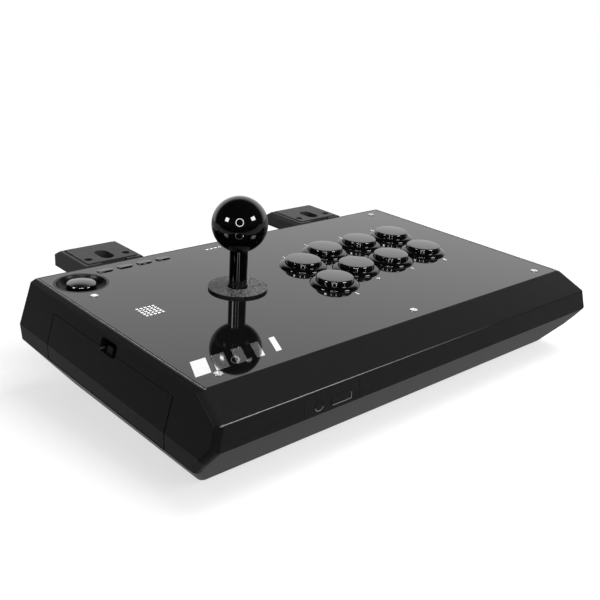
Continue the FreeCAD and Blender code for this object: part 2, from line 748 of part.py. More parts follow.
def side_door():
    """Compartment door: follows the leaning side and the band, with pins, finger notch and latch tab."""
    hinge_x, hinge_z = hinge_centre()
    nx, nz = side_normal()
    top_out = (side_x(DOOR_TOP), -DOOR_TOP)
    top_in = (top_out[0] + nx * DOOR_T, top_out[1] + nz * DOOR_T)
    inner = inset(SIDE + [(-x, z) for x, z in reversed(SIDE)], DOOR_T)[2]
    radius = DOOR_ROLL_R
    at = [Vector(-x, DOOR_Y0, z) for x, z in (top_out, SIDE[2], (hinge_x + radius, hinge_z),
          (hinge_x, hinge_z - radius), (hinge_x - radius, hinge_z), inner, top_in)]
    roll = Part.Arc(at[2], at[3], at[4]).toShape()
    edges = [Part.makeLine(at[0], at[1]), Part.makeLine(at[1], at[2]), roll,
             Part.makeLine(at[4], at[5]), Part.makeLine(at[5], at[6]), Part.makeLine(at[6], at[0])]
    leaf = Part.Face(Part.Wire(edges)).extrude(Vector(0, DOOR_Y1 - DOOR_Y0, 0))
    leaf = leaf.cut(finger_notch())
    root = NOTCH_LOW + LATCH_T
    tab = [(side_x(root) - LATCH_T, -root), (side_x(LATCH_TOP) - LATCH_T, -LATCH_TOP),
           (side_x(LATCH_TOP) - DOOR_T, -LATCH_TOP), (side_x(root) - DOOR_T, -root)]
    ring = [Vector(-x, NOTCH_Y - LATCH_W / 2, z) for x, z in tab]
    latch = Part.Face(Part.makePolygon(ring + ring[:1])).extrude(Vector(0, LATCH_W, 0))
    return tilted(fused([leaf, latch] + door_pins(PIN_R, PIN_L).Solids))


def cable_compartment():
    """Open-sided tub behind the door, hung from the ledge by its taller end walls."""
    inner_x = side_x(DOOR_TOP) - TUB_DEEP
    y0, y1 = DOOR_Y0 + TUB_WALL, DOOR_Y1 - TUB_WALL
    top = -DOOR_TOP - DOOR_GAP
    low = -PARTING + 2 * PARTING_GAP
    body = box(-FAR, -inner_x, y0, y1, low, top)
    ends = [box(-FAR, -inner_x, y, y + TUB_WALL, low, -LEDGE_LOW) for y in (y0, y1 - TUB_WALL)]
    space = box(-FAR, -inner_x - TUB_WALL, y0 + TUB_WALL, y1 - TUB_WALL, low + TUB_WALL, top - TUB_WALL)
    tub = fused([tilted(body)] + [tilted(end) for end in ends]).cut(tilted(space))
    return tub.common(case_solid(DOOR_T + DOOR_GAP))


def bottom_tray():
    """Lower case: tapered walls, floor, screw posts and standoffs for the main board."""
    pieces = [SKIN.common(tray_zone(0.0))]
    for x, y, _ in case_post_places():
        pieces.append(rod(POST_R, -CASE_H, 0, x, y).common(below(PARTING)))
    floor = -CASE_H + WALL
    for x, y in standoff_places():
        pieces.append(rod(STANDOFF_R, floor, floor + STANDOFF_H, x, y))
    tray = fused(pieces)
    for x, y, _ in case_post_places():
        tray = tray.cut(rod(SCREW_R + HOLE_GAP, -CASE_H, 0, x, y))
        tray = tray.cut(rod(TRAY_HEAD_R + HOLE_GAP, -CASE_H, -CASE_H + 2 * TRAY_HEAD_T, x, y))
    return tray


def tray_screws():
    """Four long screws from below, sunk in the tray's posts."""
    screws = []
    for x, y, _ in case_post_places():
        seat = -CASE_H + 2 * TRAY_HEAD_T
        head = rod(TRAY_HEAD_R, seat - TRAY_HEAD_T, seat, x, y)
        tip = post_screw_top(y) - HOLE_GAP
        screws.append(head.fuse(rod(SCREW_R - CLOSE_FIT, seat, tip, x, y)).removeSplitter())
    return Part.makeCompound(screws)


def hexagon(radius, z0, z1, x, y):
    """An upright six-sided prism."""
    points = [Vector(x + radius * math.cos(i * math.pi / 3), y + radius * math.sin(i * math.pi / 3), z0)
              for i in range(6)]
    return Part.Face(Part.makePolygon(points + points[:1])).extrude(Vector(0, 0, z1 - z0))


def panel_screws():
    """Bright socket screws through the panel into the shell's posts."""
    screws = []
    for x, y, _ in panel_screw_places():
        edge = SCREW_HEAD_T / 2
        head = turned([(0, 0), (SCREW_HEAD_R, 0), (SCREW_HEAD_R, edge), (SCREW_HEAD_R - edge, SCREW_HEAD_T),
                       (0, SCREW_HEAD_T)], x, y)
        shank = rod(SCREW_R - CLOSE_FIT, -SCREW_LONG, 0, x, y)
        socket = hexagon(SCREW_SOCKET, SCREW_HEAD_T - SCREW_SOCKET_DEEP, SCREW_HEAD_T, x, y)
        screws.append(tilted(head.fuse(shank).cut(socket).removeSplitter()))
    return Part.makeCompound(screws)


def standoff_places():
    """Where the main board stands on the tray."""
    dx, dy = MAIN_BOARD_W / 2 - STANDOFF_INSET, MAIN_BOARD_D / 2 - STANDOFF_INSET
    return [(MAIN_BOARD_X + sx * dx, MAIN_BOARD_Y + sy * dy) for sx in (-1, 1) for sy in (-1, 1)]


def main_board():
    """Controller board on the tray's standoffs, with its larger parts."""
    z0 = -CASE_H + WALL + STANDOFF_H
    x, y = MAIN_BOARD_X, MAIN_BOARD_Y
    board = slab(x, y, MAIN_BOARD_W, MAIN_BOARD_D, STANDOFF_R, z0, z0 + BOARD_T)
    top = z0 + BOARD_T
    third = MAIN_BOARD_W / 6
    chip = slab(x, y, third, third, EDGE_R, top, top + CHIP_H / 2)
    plug = box(x - third, x + third, y + third, y + third + CHIP_H, top, top + CHIP_H)
    return fused([board, chip, plug])


def rubber_feet():
    """Four round feet under the tray."""
    feet = []
    low, high = -CASE_H - FOOT_T, -CASE_H
    for side in (-1, 1):
        for y in (FOOT_FRONT_INSET - PANEL_D / 2, PANEL_D / 2 - FOOT_BACK_INSET):
            profile = [(0, low), (FOOT_R - EDGE_R, low), (FOOT_R, low + EDGE_R, -EDGE_R * QUARTER_BOW),
                       (FOOT_R, high), (0, high)]
            feet.append(turned(profile, side * (PANEL_W / 2 - FOOT_INSET_X), y))
    return Part.makeCompound(feet)


def button_body(x, y):
    """Snap-in button housing: conical rim on the panel, barrel below it, two snap tabs."""
    bore = PLUNGER_R + PLUNGER_GAP
    floor = BARREL_L - PLATE_T
    body = turned([(bore, RIM_H - RIM_ROUND), (bore + RIM_ROUND, RIM_H, RIM_ROUND * QUARTER_BOW),
                   (RIM_TOP_R, RIM_H), (RIM_R, RIM_EDGE, RIM_BOW), (RIM_R, 0), (BARREL_R, 0),
                   (BARREL_R, -BARREL_L), (STEM_R + PLUNGER_GAP, -BARREL_L), (STEM_R + PLUNGER_GAP, -floor),
                   (bore, -floor)])
    top = -STACK - HOLE_GAP
    reach = BARREL_R + TAB_OUT
    tabs = box(-reach, reach, -TAB_W / 2, TAB_W / 2, top - TAB_H, top)
    tabs = tabs.cut(rod(BARREL_R - TAB_OUT / 2, -FAR, FAR))
    return tilted(moved(fused([body, tabs]), x, y))


def button_plunger(x, y):
    """Domed button top with a stem that presses the switch."""
    shoulder = RIM_H + PLUNGER_RISE - PLUNGER_CROWN
    stem_low = -(BARREL_L - BUTTON_TRAVEL - PLUNGER_GAP)
    cap = turned([(0, stem_low), (STEM_R, stem_low), (STEM_R, -PLUNGER_SKIRT), (PLUNGER_R, -PLUNGER_SKIRT),
                  (PLUNGER_R, shoulder - PLUNGER_ROUND),
                  (PLUNGER_R - PLUNGER_ROUND, shoulder, -PLUNGER_ROUND * QUARTER_BOW),
                  (0, RIM_H + PLUNGER_RISE, -dome_bow(PLUNGER_R - PLUNGER_ROUND, PLUNGER_CROWN))])
    return tilted(moved(cap, x, y))


def microswitch(x, y, top):
    """A small switch with two terminal blades, its upper face at a given depth."""
    body = box(-SWITCH_L / 2, SWITCH_L / 2, -SWITCH_W / 2, SWITCH_W / 2, -top - SWITCH_H, -top)
    low = -top - SWITCH_H
    blades = [box(cx - BLADE_W / 2, cx + BLADE_W / 2, -BLADE_T / 2, BLADE_T / 2, low - BLADE_L, low)
              for cx in (-SWITCH_L / 4, SWITCH_L / 4)]
    return tilted(moved(fused([body] + blades), x, y))


def home_bezel():
    """Round dished surround of the home button, flush with the cover."""
    bore = HOME_CAP_R + HOME_CAP_GAP
    floor = HOME_BARREL_L - PLATE_T
    stem_bore = STEM_R + HOME_CAP_GAP
    barrel, low = HOME_BARREL_R, -HOME_BARREL_L
    body = turned([(HOME_R, 0), (HOME_R, -COVER_T), (barrel, -COVER_T), (barrel, low), (stem_bore, low),
                   (stem_bore, -floor), (bore, -floor), (bore, -HOME_DISH), (bore + HOME_FLOOR, -HOME_DISH),
                   (HOME_R - HOME_RIM, 0, -HOME_BOWL)])
    return tilted(moved(body, HOME_X, HOME_Y))


def home_plunger():
    """Round home button with a low dome."""
    low = -HOME_CAP_SKIRT
    shoulder = HOME_CAP_RISE - HOME_CAP_CROWN
    stem_low = -(HOME_BARREL_L - HOME_TRAVEL - HOME_CAP_GAP)
    cap = turned([(0, stem_low), (STEM_R, stem_low), (STEM_R, low), (HOME_CAP_R, low),
                  (HOME_CAP_R, shoulder - HOME_CAP_ROUND),
                  (HOME_CAP_R - HOME_CAP_ROUND, shoulder, -HOME_CAP_ROUND * QUARTER_BOW),
                  (0, HOME_CAP_RISE, -dome_bow(HOME_CAP_R - HOME_CAP_ROUND, HOME_CAP_CROWN))])
    return tilted(moved(cap, HOME_X, HOME_Y))


def option_button(x, y):
    """Pill-shaped key with a flange that keeps it under the plate."""
    top_flange = -STACK - OPTION_GAP
    low_flange = top_flange - OPTION_FLANGE_T
    wide = 2 * (OPTION_GAP + OPTION_FLANGE)
    key = pill(x, y, OPTION_L, OPTION_W, low_flange, OPTION_RISE)
    rim = [edge for edge in key.Edges if edge.BoundBox.ZMin > OPTION_RISE - CLOSE_FIT]
    key = key.makeChamfer(OPTION_BEVEL, rim)
    flange = pill(x, y, OPTION_L + wide, OPTION_W + wide, low_flange, top_flange)
    stem = rod(OPTION_W / 2 - OPTION_FLANGE, low_flange - OPTION_STEM_L, low_flange, x, y)
    return tilted(fused([key, flange, stem]))


def option_board():
    """Strip board under the option buttons, on the plate's studs."""
    top = -option_board_top()
    middle = OPTION_X + (OPTION_COUNT - 1) * OPTION_PITCH / 2
    length = (OPTION_COUNT - 1) * OPTION_PITCH + OPTION_L
    y0, y1 = OPTION_Y - OPTION_STUD_DY - STUD_R, OPTION_Y + TACT_SIZE / 2
    return tilted(slab(middle, (y0 + y1) / 2, length, y1 - y0, EDGE_R, top - BOARD_T, top))


def option_switches():
    """Small square switches under the option buttons."""
    top = -option_board_top()
    half = TACT_SIZE / 2
    return Part.makeCompound([tilted(box(x - half, x + half, y - half, y + half, top, top + TACT_H))
                              for x, y in option_places()])


def indicator_lights():
    """Clear light pins, flush with the cover."""
    return Part.makeCompound([tilted(pill(x, y, INDICATOR_W, INDICATOR_D, -COVER_T - INDICATOR_L, 0))
                              for x, y in indicator_places()])


def at_lever(shape):
    """Moves a piece drawn about the lever's axis to its place on the tilted panel."""
    return tilted(moved(shape, LEVER_X, LEVER_Y))


def tilt_reach(depth):
    """How far the lever's axis swings sideways at a distance from its pivot."""
    return abs(depth) * TILT_SLOPE


def lever_plate():
    """Mounting plate held off the panel by four spacers."""
    plate = slab(0, 0, LEVER_PLATE_L, LEVER_PLATE_W, SPACER_R, -HOUSING_TOP, -LEVER_PLATE_TOP)
    places = [(x - LEVER_X, y - LEVER_Y) for x, y in lever_screw_places()]
    spacers = [rod(SPACER_R, -LEVER_PLATE_TOP, -STACK, x, y) for x, y in places]
    holes = [rod(SCREW_R + CLOSE_FIT, -FAR, FAR, x, y) for x, y in places]
    holes.append(rod(SHAFT_HOLE_R, -FAR, FAR))
    return at_lever(fused([plate] + spacers).cut(Part.makeCompound(holes)))


def lever_screws():
    """Flat-headed screws sunk in the metal plate."""
    screws = []
    for x, y in lever_screw_places():
        low = -COVER_T - PLATE_T / 2
        head = rod(SPACER_R - 2 * HOLE_GAP, low, -COVER_T, x, y)
        screws.append(tilted(head.fuse(rod(SCREW_R, -HOUSING_TOP, low, x, y)).removeSplitter()))
    return Part.makeCompound(screws)


def lever_housing():
    """Square lever body with a spherical seat for the pivot bush and a spring chamber below."""
    body = slab(0, 0, HOUSING_SIZE, LEVER_PLATE_W, SPACER_R, -HOUSING_LOW, -HOUSING_TOP)
    seat = Part.makeSphere(BUSH_R + MOVE_GAP, Vector(0, 0, -PIVOT_DEPTH))
    way = rod(SHAFT_HOLE_R, -PIVOT_DEPTH + BUSH_HALF - MOVE_GAP, 0)
    throat = rod(BUSH_R - MOVE_GAP, -FAR, -PIVOT_DEPTH)
    chamber = rod(CHAMBER_R, -FAR, -BUSH_LOW - MOVE_GAP)
    return at_lever(body.cut(seat).cut(way).cut(throat).cut(chamber).removeSplitter())


def lever_board():
    """Ring-shaped board under the lever housing."""
    board = slab(0, 0, HOUSING_SIZE, LEVER_PLATE_W, SPACER_R, -LEVER_BOARD_LOW, -HOUSING_LOW)
    return at_lever(board.cut(rod(CHAMBER_R, -FAR, FAR)))


def lever_switches():
    """Four switches round the actuator, one for each way."""
    near = ACTUATOR_R + tilt_reach(GATE_TOP - PIVOT_DEPTH) + MOVE_GAP
    switches = []
    for turn in range(4):
        switch = box(near, near + SWITCH_W, -SWITCH_L / 2, SWITCH_L / 2, -GATE_TOP, -LEVER_BOARD_LOW)
        switch.rotate(Vector(0, 0, 0), Vector(0, 0, 1), 90 * turn)
        switches.append(at_lever(switch))
    return Part.makeCompound(switches)


def restrictor_gate():
    """Square gate that stops the lever, under the switches."""
    gate = slab(0, 0, HOUSING_SIZE, LEVER_PLATE_W, SPACER_R, -GATE_LOW, -GATE_TOP)
    half = ACTUATOR_R + tilt_reach(GATE_LOW - PIVOT_DEPTH) + 2 * MOVE_GAP
    return at_lever(gate.cut(slab(0, 0, 2 * half, 2 * half, SPACER_R / 2, -FAR, FAR)))


def pivot_bush():
    """Ball-shaped bush that rocks front to back, with a waisted bore for the shaft's sideways tilt."""
    ball = Part.makeSphere(BUSH_R, Vector(0, 0, -PIVOT_DEPTH))
    ball = ball.common(box(-FAR, FAR, -FAR, FAR, -BUSH_LOW, -PIVOT_DEPTH + BUSH_HALF))
    waist = SHAFT_R / math.cos(math.radians(TILT_MAX)) + CLOSE_FIT
    mouth = waist + tilt_reach(BUSH_HALF)
    bore = turned([(0, -BUSH_HALF), (mouth, -BUSH_HALF), (waist, 0), (mouth, BUSH_HALF), (0, BUSH_HALF)])
    return at_lever(ball.cut(moved(bore, z=-PIVOT_DEPTH)).removeSplitter())


def lever_shaft():
    """Steel shaft: stud in the ball, neck in the sleeve, full size through the pivot, groove for the clip."""
    top = BALL_LOW + BALL_R / 2
    step = -SLEEVE_LOW
    groove_top = -ACTUATOR_LOW
    groove_low = groove_top - CLIP_T
    end = groove_low - 2 * CLIP_T
    return at_lever(turned([(0, top), (SHAFT_NECK_R, top), (SHAFT_NECK_R, step), (SHAFT_R, step),
                            (SHAFT_R, groove_top), (SHAFT_NECK_R, groove_top), (SHAFT_NECK_R, groove_low),
                            (SHAFT_R, groove_low), (SHAFT_R, end), (0, end)]))


def shaft_cover():
    """Black sleeve on the shaft between the pivot and the ball."""
    low = -SLEEVE_LOW
    bore = SHAFT_NECK_R + CLOSE_FIT
    return at_lever(turned([(bore, low), (SLEEVE_R, low), (SLEEVE_R, BALL_LOW), (bore, BALL_LOW)]))


def ball_top():
    """Ball knob with a flat and a blind bore below."""
    ball = Part.makeSphere(BALL_R, Vector(0, 0, BALL_H))
    ball = ball.common(box(-FAR, FAR, -FAR, FAR, BALL_LOW, FAR))
    return at_lever(ball.cut(rod(SHAFT_NECK_R + CLOSE_FIT, 0, BALL_LOW + BALL_R / 2 + CLOSE_FIT)))


def actuator():
    """Plastic collar that works the switches."""
    bore = SHAFT_R + CLOSE_FIT
    edge = EDGE_R
    low = -ACTUATOR_LOW
    return at_lever(turned([(bore, low), (ACTUATOR_R - edge, low), (ACTUATOR_R, low + edge),
                            (ACTUATOR_R, -ACTUATOR_TOP), (bore, -ACTUATOR_TOP)]))


def e_clip():
    """Open spring clip that keeps the actuator on the shaft."""
    ring = rod(CLIP_R, -ACTUATOR_LOW - CLIP_T, -ACTUATOR_LOW)
    ring = ring.cut(rod(SHAFT_NECK_R + CLOSE_FIT, -FAR, FAR))
    half = CLIP_MOUTH / 2
    return at_lever(ring.cut(box(0, FAR, -half, half, -FAR, FAR)))


def lever_spring():
    """Coil spring between bush and actuator, its turns lofted through six-sided wire sections."""
    sections = []
    count = SPRING_TURN_COUNT * SPRING_SECTION_COUNT
    for i in range(count + 1):
        turn = 2 * math.pi * i / SPRING_SECTION_COUNT
        height = -SPRING_TOP - (SPRING_LENGTH - SPRING_WIRE_R) * i / count
        points = []
        for k in range(6):
            around = k * math.pi / 3
            reach = SPRING_COIL_R + SPRING_WIRE_R * math.cos(around)
            points.append(Vector(reach * math.cos(turn), reach * math.sin(turn),
                                 height + SPRING_WIRE_R * math.sin(around)))
        sections.append(Part.makePolygon(points + points[:1]))
    return at_lever(Part.makeLoft(sections, True, True))


def dust_washer():
    """Round washer that slides on the cover with the shaft."""
    ring = rod(WASHER_R, SLIDE_GAP, SLIDE_GAP + WASHER_T)
    return at_lever(ring.cut(rod(SLEEVE_R + WASHER_GAP, -FAR, FAR)))


def under_washer():
    """Second washer in the gap under the panel, with a wider hole."""
    top = -STACK - (SPACER_H - UNDER_WASHER_T) / 2
    slack = tilt_reach(PIVOT_DEPTH - STACK) + WASHER_GAP
    ring = rod(UNDER_WASHER_R, top - UNDER_WASHER_T, top)
    return at_lever(ring.cut(rod(SLEEVE_R + slack, -FAR, FAR)))


def port_prism(grow, drop):
    """A rounded block through the front face, outlining the port cover."""
    half = PORT_W / 2 + grow
    top = LENGTH[1][1] - PORT_TOP_DROP + grow
    low = LENGTH[2][1] + PORT_GAP - drop
    low_cut = low - (CASE_H if drop else 0.0)
    front, back = -FAR, LENGTH[1][0] + PANEL_D / 2
    corners = ((-half, low_cut), (-half, top), (half, top), (half, low_cut))
    points = [Vector(PORT_X + x, front, z) for x, z in corners]
    wire = outline(points, [0, PORT_R + grow, PORT_R + grow, 0])
    return Part.Face(wire).extrude(Vector(0, back - front, 0))


def front_port_cover():
    """Blank cover in the front face, with the shallow outlines of two sockets."""
    plug = case_solid(0.0).cut(INNER).common(port_prism(0.0, 0.0))
    behind = INNER.cut(case_solid(WALL + TUB_WALL))
    flange = behind.common(port_prism(PORT_FLANGE, 0.0))
    cover = fused([plug, flange]).cut(tray_zone(PORT_GAP))
    face_y = LENGTH[1][0] - FRONT_LEAN * PORT_MARK_DROP / FACE_H
    z = LENGTH[1][1] - PORT_MARK_DROP
    start = Vector(PORT_X + PORT_ROUND_DX, face_y - PORT_MARK_DEEP, z)
    round_mark = [Part.makeCylinder(radius, 2 * PORT_MARK_DEEP, start, Vector(0, 1, 0))
                  for radius in (PORT_ROUND_R, PORT_ROUND_R - PORT_MARK_W)]
    cover = cover.cut(round_mark[0].cut(round_mark[1]))
    slots = []
    for shrink in (0.0, PORT_MARK_W):
        half, tall = PORT_SLOT_W / 2 - shrink, PORT_SLOT_H / 2 - shrink
        ring = [Vector(PORT_X + PORT_SLOT_DX + sx * half, face_y - PORT_MARK_DEEP, z + sz * tall)
                for sx, sz in ((-1, -1), (1, -1), (1, 1), (-1, 1))]
        slots.append(Part.Face(outline(ring, [EDGE_R] * 4)).extrude(Vector(0, 2 * PORT_MARK_DEEP, 0)))
    return cover.cut(slots[0].cut(slots[1]))


def cleat_block():
    """The cleat's broad block, chamfered at its sides and rear, drawn about its own middle line."""
    top = CLEAT_TOP_W / 2
    half = top + CLEAT_CHAMFER_W
    shoulder = -CLEAT_RIM - CLEAT_CHAMFER_H
    section = [(-half, -CLEAT_LOW), (half, -CLEAT_LOW), (half, shoulder), (top, -CLEAT_RIM),
               (-top, -CLEAT_RIM), (-half, shoulder)]
    ring = [Vector(x, CLEAT_Y0, z) for x, z in section]
    across = Part.Face(Part.makePolygon(ring + ring[:1])).extrude(Vector(0, CLEAT_LENGTH, 0))
    profile = [(CLEAT_Y0, -CLEAT_LOW), (CLEAT_REAR, -CLEAT_LOW), (CLEAT_REAR, shoulder),
               (CLEAT_REAR - CLEAT_REAR_RUN, -CLEAT_RIM), (CLEAT_Y0, -CLEAT_RIM)]
    bite = box(-CLEAT_BITE_W / 2, CLEAT_BITE_W / 2, CLEAT_Y0, CLEAT_Y0 + CLEAT_BITE_D, -NECK_DROP, 0)
    return across.common(prism_along(profile)).cut(bite)


def cleat_plate(gap, low):
    """The block that the cleat's cover takes up, grown by a gap."""
    half, y0 = CLEAT_COVER_W / 2 + gap, CLEAT_Y0 + CLEAT_COVER_INSET
    return box(-half, half, y0 - gap, y0 + CLEAT_COVER_L + gap, -CLEAT_SEAT, low)


def cleat_screw_places():
    """Screws of a cleat's cover, about the cleat's own middle line."""
    return [(sx * CLEAT_SCREW_DX, CLEAT_Y0 + CLEAT_SCREW_DY) for sx in (-1, 1)]


def cleat_middle(side):
    """Where a cleat's middle line is across the panel."""
    return side * CLEAT_X + CLEAT_SHIFT


def neck_screw_places(side):
    """Screws from inside the case into a cleat's neck."""
    z = -LEDGE_LOW - TRAY_HEAD_R - HOLE_GAP
    return [(cleat_middle(side) + sx * NECK_SCREW_DX, 0.0, z) for sx in (-1, 1)]


def cleat(side):
    """Rear cleat: a broad block on a narrow neck that is screwed to the back wall."""
    neck_back = CLEAT_Y0 + CLEAT_BITE_D + NECK_H / 2
    neck = box(-NECK_W / 2, NECK_W / 2, 0, neck_back, -NECK_DROP - NECK_H, -NECK_DROP)
    body = fused([cleat_block(), neck])
    body = body.cut(cleat_plate(CLEAT_COVER_GAP, 0)).cut(cleat_slot())
    for x, y in cleat_screw_places():
        body = body.cut(rod(SCREW_R, -CLEAT_SEAT - CLEAT_SCREW_L, 0, x, y))
    body = moved(body, cleat_middle(side))
    for x, y, z in neck_screw_places(side):
        body = body.cut(Part.makeCylinder(SCREW_R, neck_screw_tip(z), Vector(x, y, z), Vector(0, 1, 0)))
    return tilted(body).cut(OUTER)


def cleat_slot():
    """The cleat's slot, long from front to back, with a shallow step at its front end."""
    slot = pill(0, 0, SLOT_L, SLOT_W, -CLEAT_LOW, 0)
    slot.rotate(Vector(0, 0, 0), Vector(0, 0, 1), 90)
    step_end = (SLOT_W - SLOT_L) / 2
    ledge = box(-SLOT_W, SLOT_W, -SLOT_L, step_end, -CLEAT_LOW, -CLEAT_SEAT - SLOT_STEP)
    return moved(slot.cut(ledge), y=CLEAT_Y0 + SLOT_DY)


def back_wall_y(depth):
    """Where the back wall's outer face is, along the panel, at a depth under it."""
    (y0, z0), (y1, z1) = LENGTH[7], LENGTH[6]
    along = [(y * math.cos(TILT) + z * math.sin(TILT), z * math.cos(TILT) - y * math.sin(TILT))
             for y, z in ((y0, z0), (y1, z1))]
    (v0, n0), (v1, n1) = along
    return v0 + (v1 - v0) * (n0 + depth) / (n0 - n1)


def neck_screw_tip(height):
    """How far back a neck screw's tip reaches."""
    return back_wall_y(-height) - WALL + NECK_SCREW_L


def cleat_cover(side):
    """Flat cover let into the cleat's top, with the slot and two sunk screw holes."""
    plate = cleat_plate(0.0, -CLEAT_DROP).cut(cleat_slot())
    for x, y in cleat_screw_places():
        plate = plate.cut(rod(SCREW_R + HOLE_GAP, -FAR, 0, x, y))
        plate = plate.cut(rod(CLEAT_SCREW_R + HOLE_GAP, -CLEAT_DROP - CLEAT_COVER_T / 2, 0, x, y))
    return tilted(moved(plate, cleat_middle(side)))


def cleat_screws():
    """Screws of the cleat covers, and those that hold each neck from inside the case."""
    screws = []
    for side in (-1, 1):
        for dx, y in cleat_screw_places():
            x = cleat_middle(side) + dx
            seat = -CLEAT_DROP - CLEAT_COVER_T / 2
            head = rod(CLEAT_SCREW_R, seat, seat + CLEAT_SCREW_T, x, y)
            tip = -CLEAT_SEAT - CLEAT_SCREW_L + HOLE_GAP
            screws.append(tilted(head.fuse(rod(SCREW_R - CLOSE_FIT, tip, seat, x, y)).removeSplitter()))
        for x, _, z in neck_screw_places(side):
            inner = back_wall_y(-z + TRAY_HEAD_R) - WALL / math.cos(TILT) - 2 * CLOSE_FIT - WALL / 2
            way = Vector(0, 1, 0)
            head = Part.makeCylinder(TRAY_HEAD_R, TRAY_HEAD_T, Vector(x, inner - TRAY_HEAD_T, z), way)
            length = neck_screw_tip(z) - HOLE_GAP - inner
            shank = Part.makeCylinder(SCREW_R - CLOSE_FIT, length, Vector(x, inner, z), way)
            screws.append(tilted(head.fuse(shank).removeSplitter()))
    return Part.makeCompound(screws)


def placed_on_back(shape):
    """Sets a piece drawn upright on the middle of the leaning back wall, its top pointing out."""
    lean = math.degrees(math.atan2(BACK_LEAN, BACK_DROP))
    y = LENGTH[7][0] + BACK_LEAN * INLET_DROP / BACK_DROP
    copy = shape.copy()
    copy.rotate(Vector(0, 0, 0), Vector(1, 0, 0), -90 + lean)
    copy.translate(Vector(0, y, LENGTH[7][1] - INLET_DROP))
    return copy


def cable_inlet():
    """Bushing in the back wall that a cord would pass through."""
    low, bevel = -WALL - INLET_INNER, INLET_FLANGE_T / 2
    body = turned([(INLET_BORE_R, low), (INLET_BODY_R, low), (INLET_BODY_R, 0), (INLET_FLANGE_R, 0),
                   (INLET_FLANGE_R - bevel, INLET_FLANGE_T), (INLET_BORE_R, INLET_FLANGE_T)])
    return placed_on_back(body)


def all_nodes():
    """Every piece of the stick by name."""
    cover, plate = panel_pieces()
    nodes = {"panel_cover": tilted(cover), "control_plate": tilted(plate), "upper_shell": upper_shell(),
             "bottom_tray": bottom_tray(), "side_door": side_door(), "cable_compartment": cable_compartment(),
             "panel_screws": panel_screws(), "tray_screws": tray_screws(), "rubber_feet": rubber_feet(),
             "main_board": main_board(), "front_port_cover": front_port_cover(), "cable_inlet": cable_inlet(),
             "cleat_screws": cleat_screws(), "home_bezel": home_bezel(), "home_plunger": home_plunger(),
             "home_switch": microswitch(HOME_X, HOME_Y, HOME_BARREL_L), "option_board": option_board(),
             "option_switches": option_switches(), "indicator_lights": indicator_lights(),
             "lever_plate": lever_plate(), "lever_screws": lever_screws(), "lever_housing": lever_housing(),
             "lever_board": lever_board(), "lever_switches": lever_switches(),
             "restrictor_gate": restrictor_gate(), "pivot_bush": pivot_bush(), "lever_shaft": lever_shaft(),
             "shaft_cover": shaft_cover(), "ball_top": ball_top(), "actuator": actuator(), "e_clip": e_clip(),
             "lever_spring": lever_spring(), "dust_washer": dust_washer(), "under_washer": under_washer()}
    for side, word in ((-1, "left"), (1, "right")):
        nodes["cleat_" + word] = cleat(side)
        nodes["cleat_cover_" + word] = cleat_cover(side)
    for number, (x, y) in enumerate(button_places(), 1):
        nodes["button_body_%d" % number] = button_body(x, y)
        nodes["button_plunger_%d" % number] = button_plunger(x, y)
    nodes["button_switches"] = Part.makeCompound([microswitch(x, y, BARREL_L) for x, y in button_places()])
    for number, (x, y) in enumerate(option_places(), 1):
        nodes["option_button_%d" % number] = option_button(x, y)
    return nodes


os.makedirs("parts", exist_ok=True)
for name, shape in all_nodes().items():
    moved(shape, ORIGIN.x, ORIGIN.y, ORIGIN.z).exportStep("parts/%s.step" % name)
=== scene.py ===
import json
import math

import bmesh
import bpy
from mathutils import Matrix, Vector


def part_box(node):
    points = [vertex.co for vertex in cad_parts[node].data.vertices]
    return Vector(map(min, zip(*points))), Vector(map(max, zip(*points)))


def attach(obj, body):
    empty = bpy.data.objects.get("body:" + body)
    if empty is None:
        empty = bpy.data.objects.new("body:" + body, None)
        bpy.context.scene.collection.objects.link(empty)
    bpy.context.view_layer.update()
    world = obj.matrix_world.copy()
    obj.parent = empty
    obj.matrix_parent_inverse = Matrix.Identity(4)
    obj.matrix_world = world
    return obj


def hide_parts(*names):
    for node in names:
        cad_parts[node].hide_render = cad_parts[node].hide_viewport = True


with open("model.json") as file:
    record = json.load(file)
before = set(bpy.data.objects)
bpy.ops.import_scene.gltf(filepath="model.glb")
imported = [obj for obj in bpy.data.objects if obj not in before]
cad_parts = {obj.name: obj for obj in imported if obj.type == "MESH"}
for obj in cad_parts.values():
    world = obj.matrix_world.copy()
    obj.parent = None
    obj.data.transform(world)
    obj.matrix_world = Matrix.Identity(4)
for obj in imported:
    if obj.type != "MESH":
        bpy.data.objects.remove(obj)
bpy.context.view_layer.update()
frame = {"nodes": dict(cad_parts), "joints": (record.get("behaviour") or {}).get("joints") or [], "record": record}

NODES = frame["nodes"]
RECORD = frame["record"]
MM = 0.001
RIGHT = Vector((1, 0, 0))
UP = Vector((0, 0, 1))
WHITE = (1.0, 1.0, 1.0, 1.0)

# Camera, in metres in the part's own frame, with its lens and sensor in millimetres
CAMERA_PLACE = Vector((-0.3790, -0.42502, 0.2313))
CAMERA_TARGET = Vector((-0.0448, -0.05072, 0.0665))
CAMERA_LENS = 50.74
CAMERA_SENSOR = 36.0
CAMERA_CLIP = (0.01, 100.0)
VIEW_WAY = (CAMERA_PLACE - CAMERA_TARGET).normalized()
LEVEL_WAY = Vector((VIEW_WAY.x, VIEW_WAY.y, 0)).normalized()

# Floor: share of plain white near the object and where it becomes full, glow in reflections and its end
FLOOR_SIZE = 8.0
FLOOR_COLOUR = (0.88, 0.88, 0.88, 1.0)
FLOOR_GLOW = 0.66
FLOOR_FADE = (0.26, 0.80)
FLOOR_MIRRORED = 0.36
FLOOR_DARK = (0.22, 0.40)

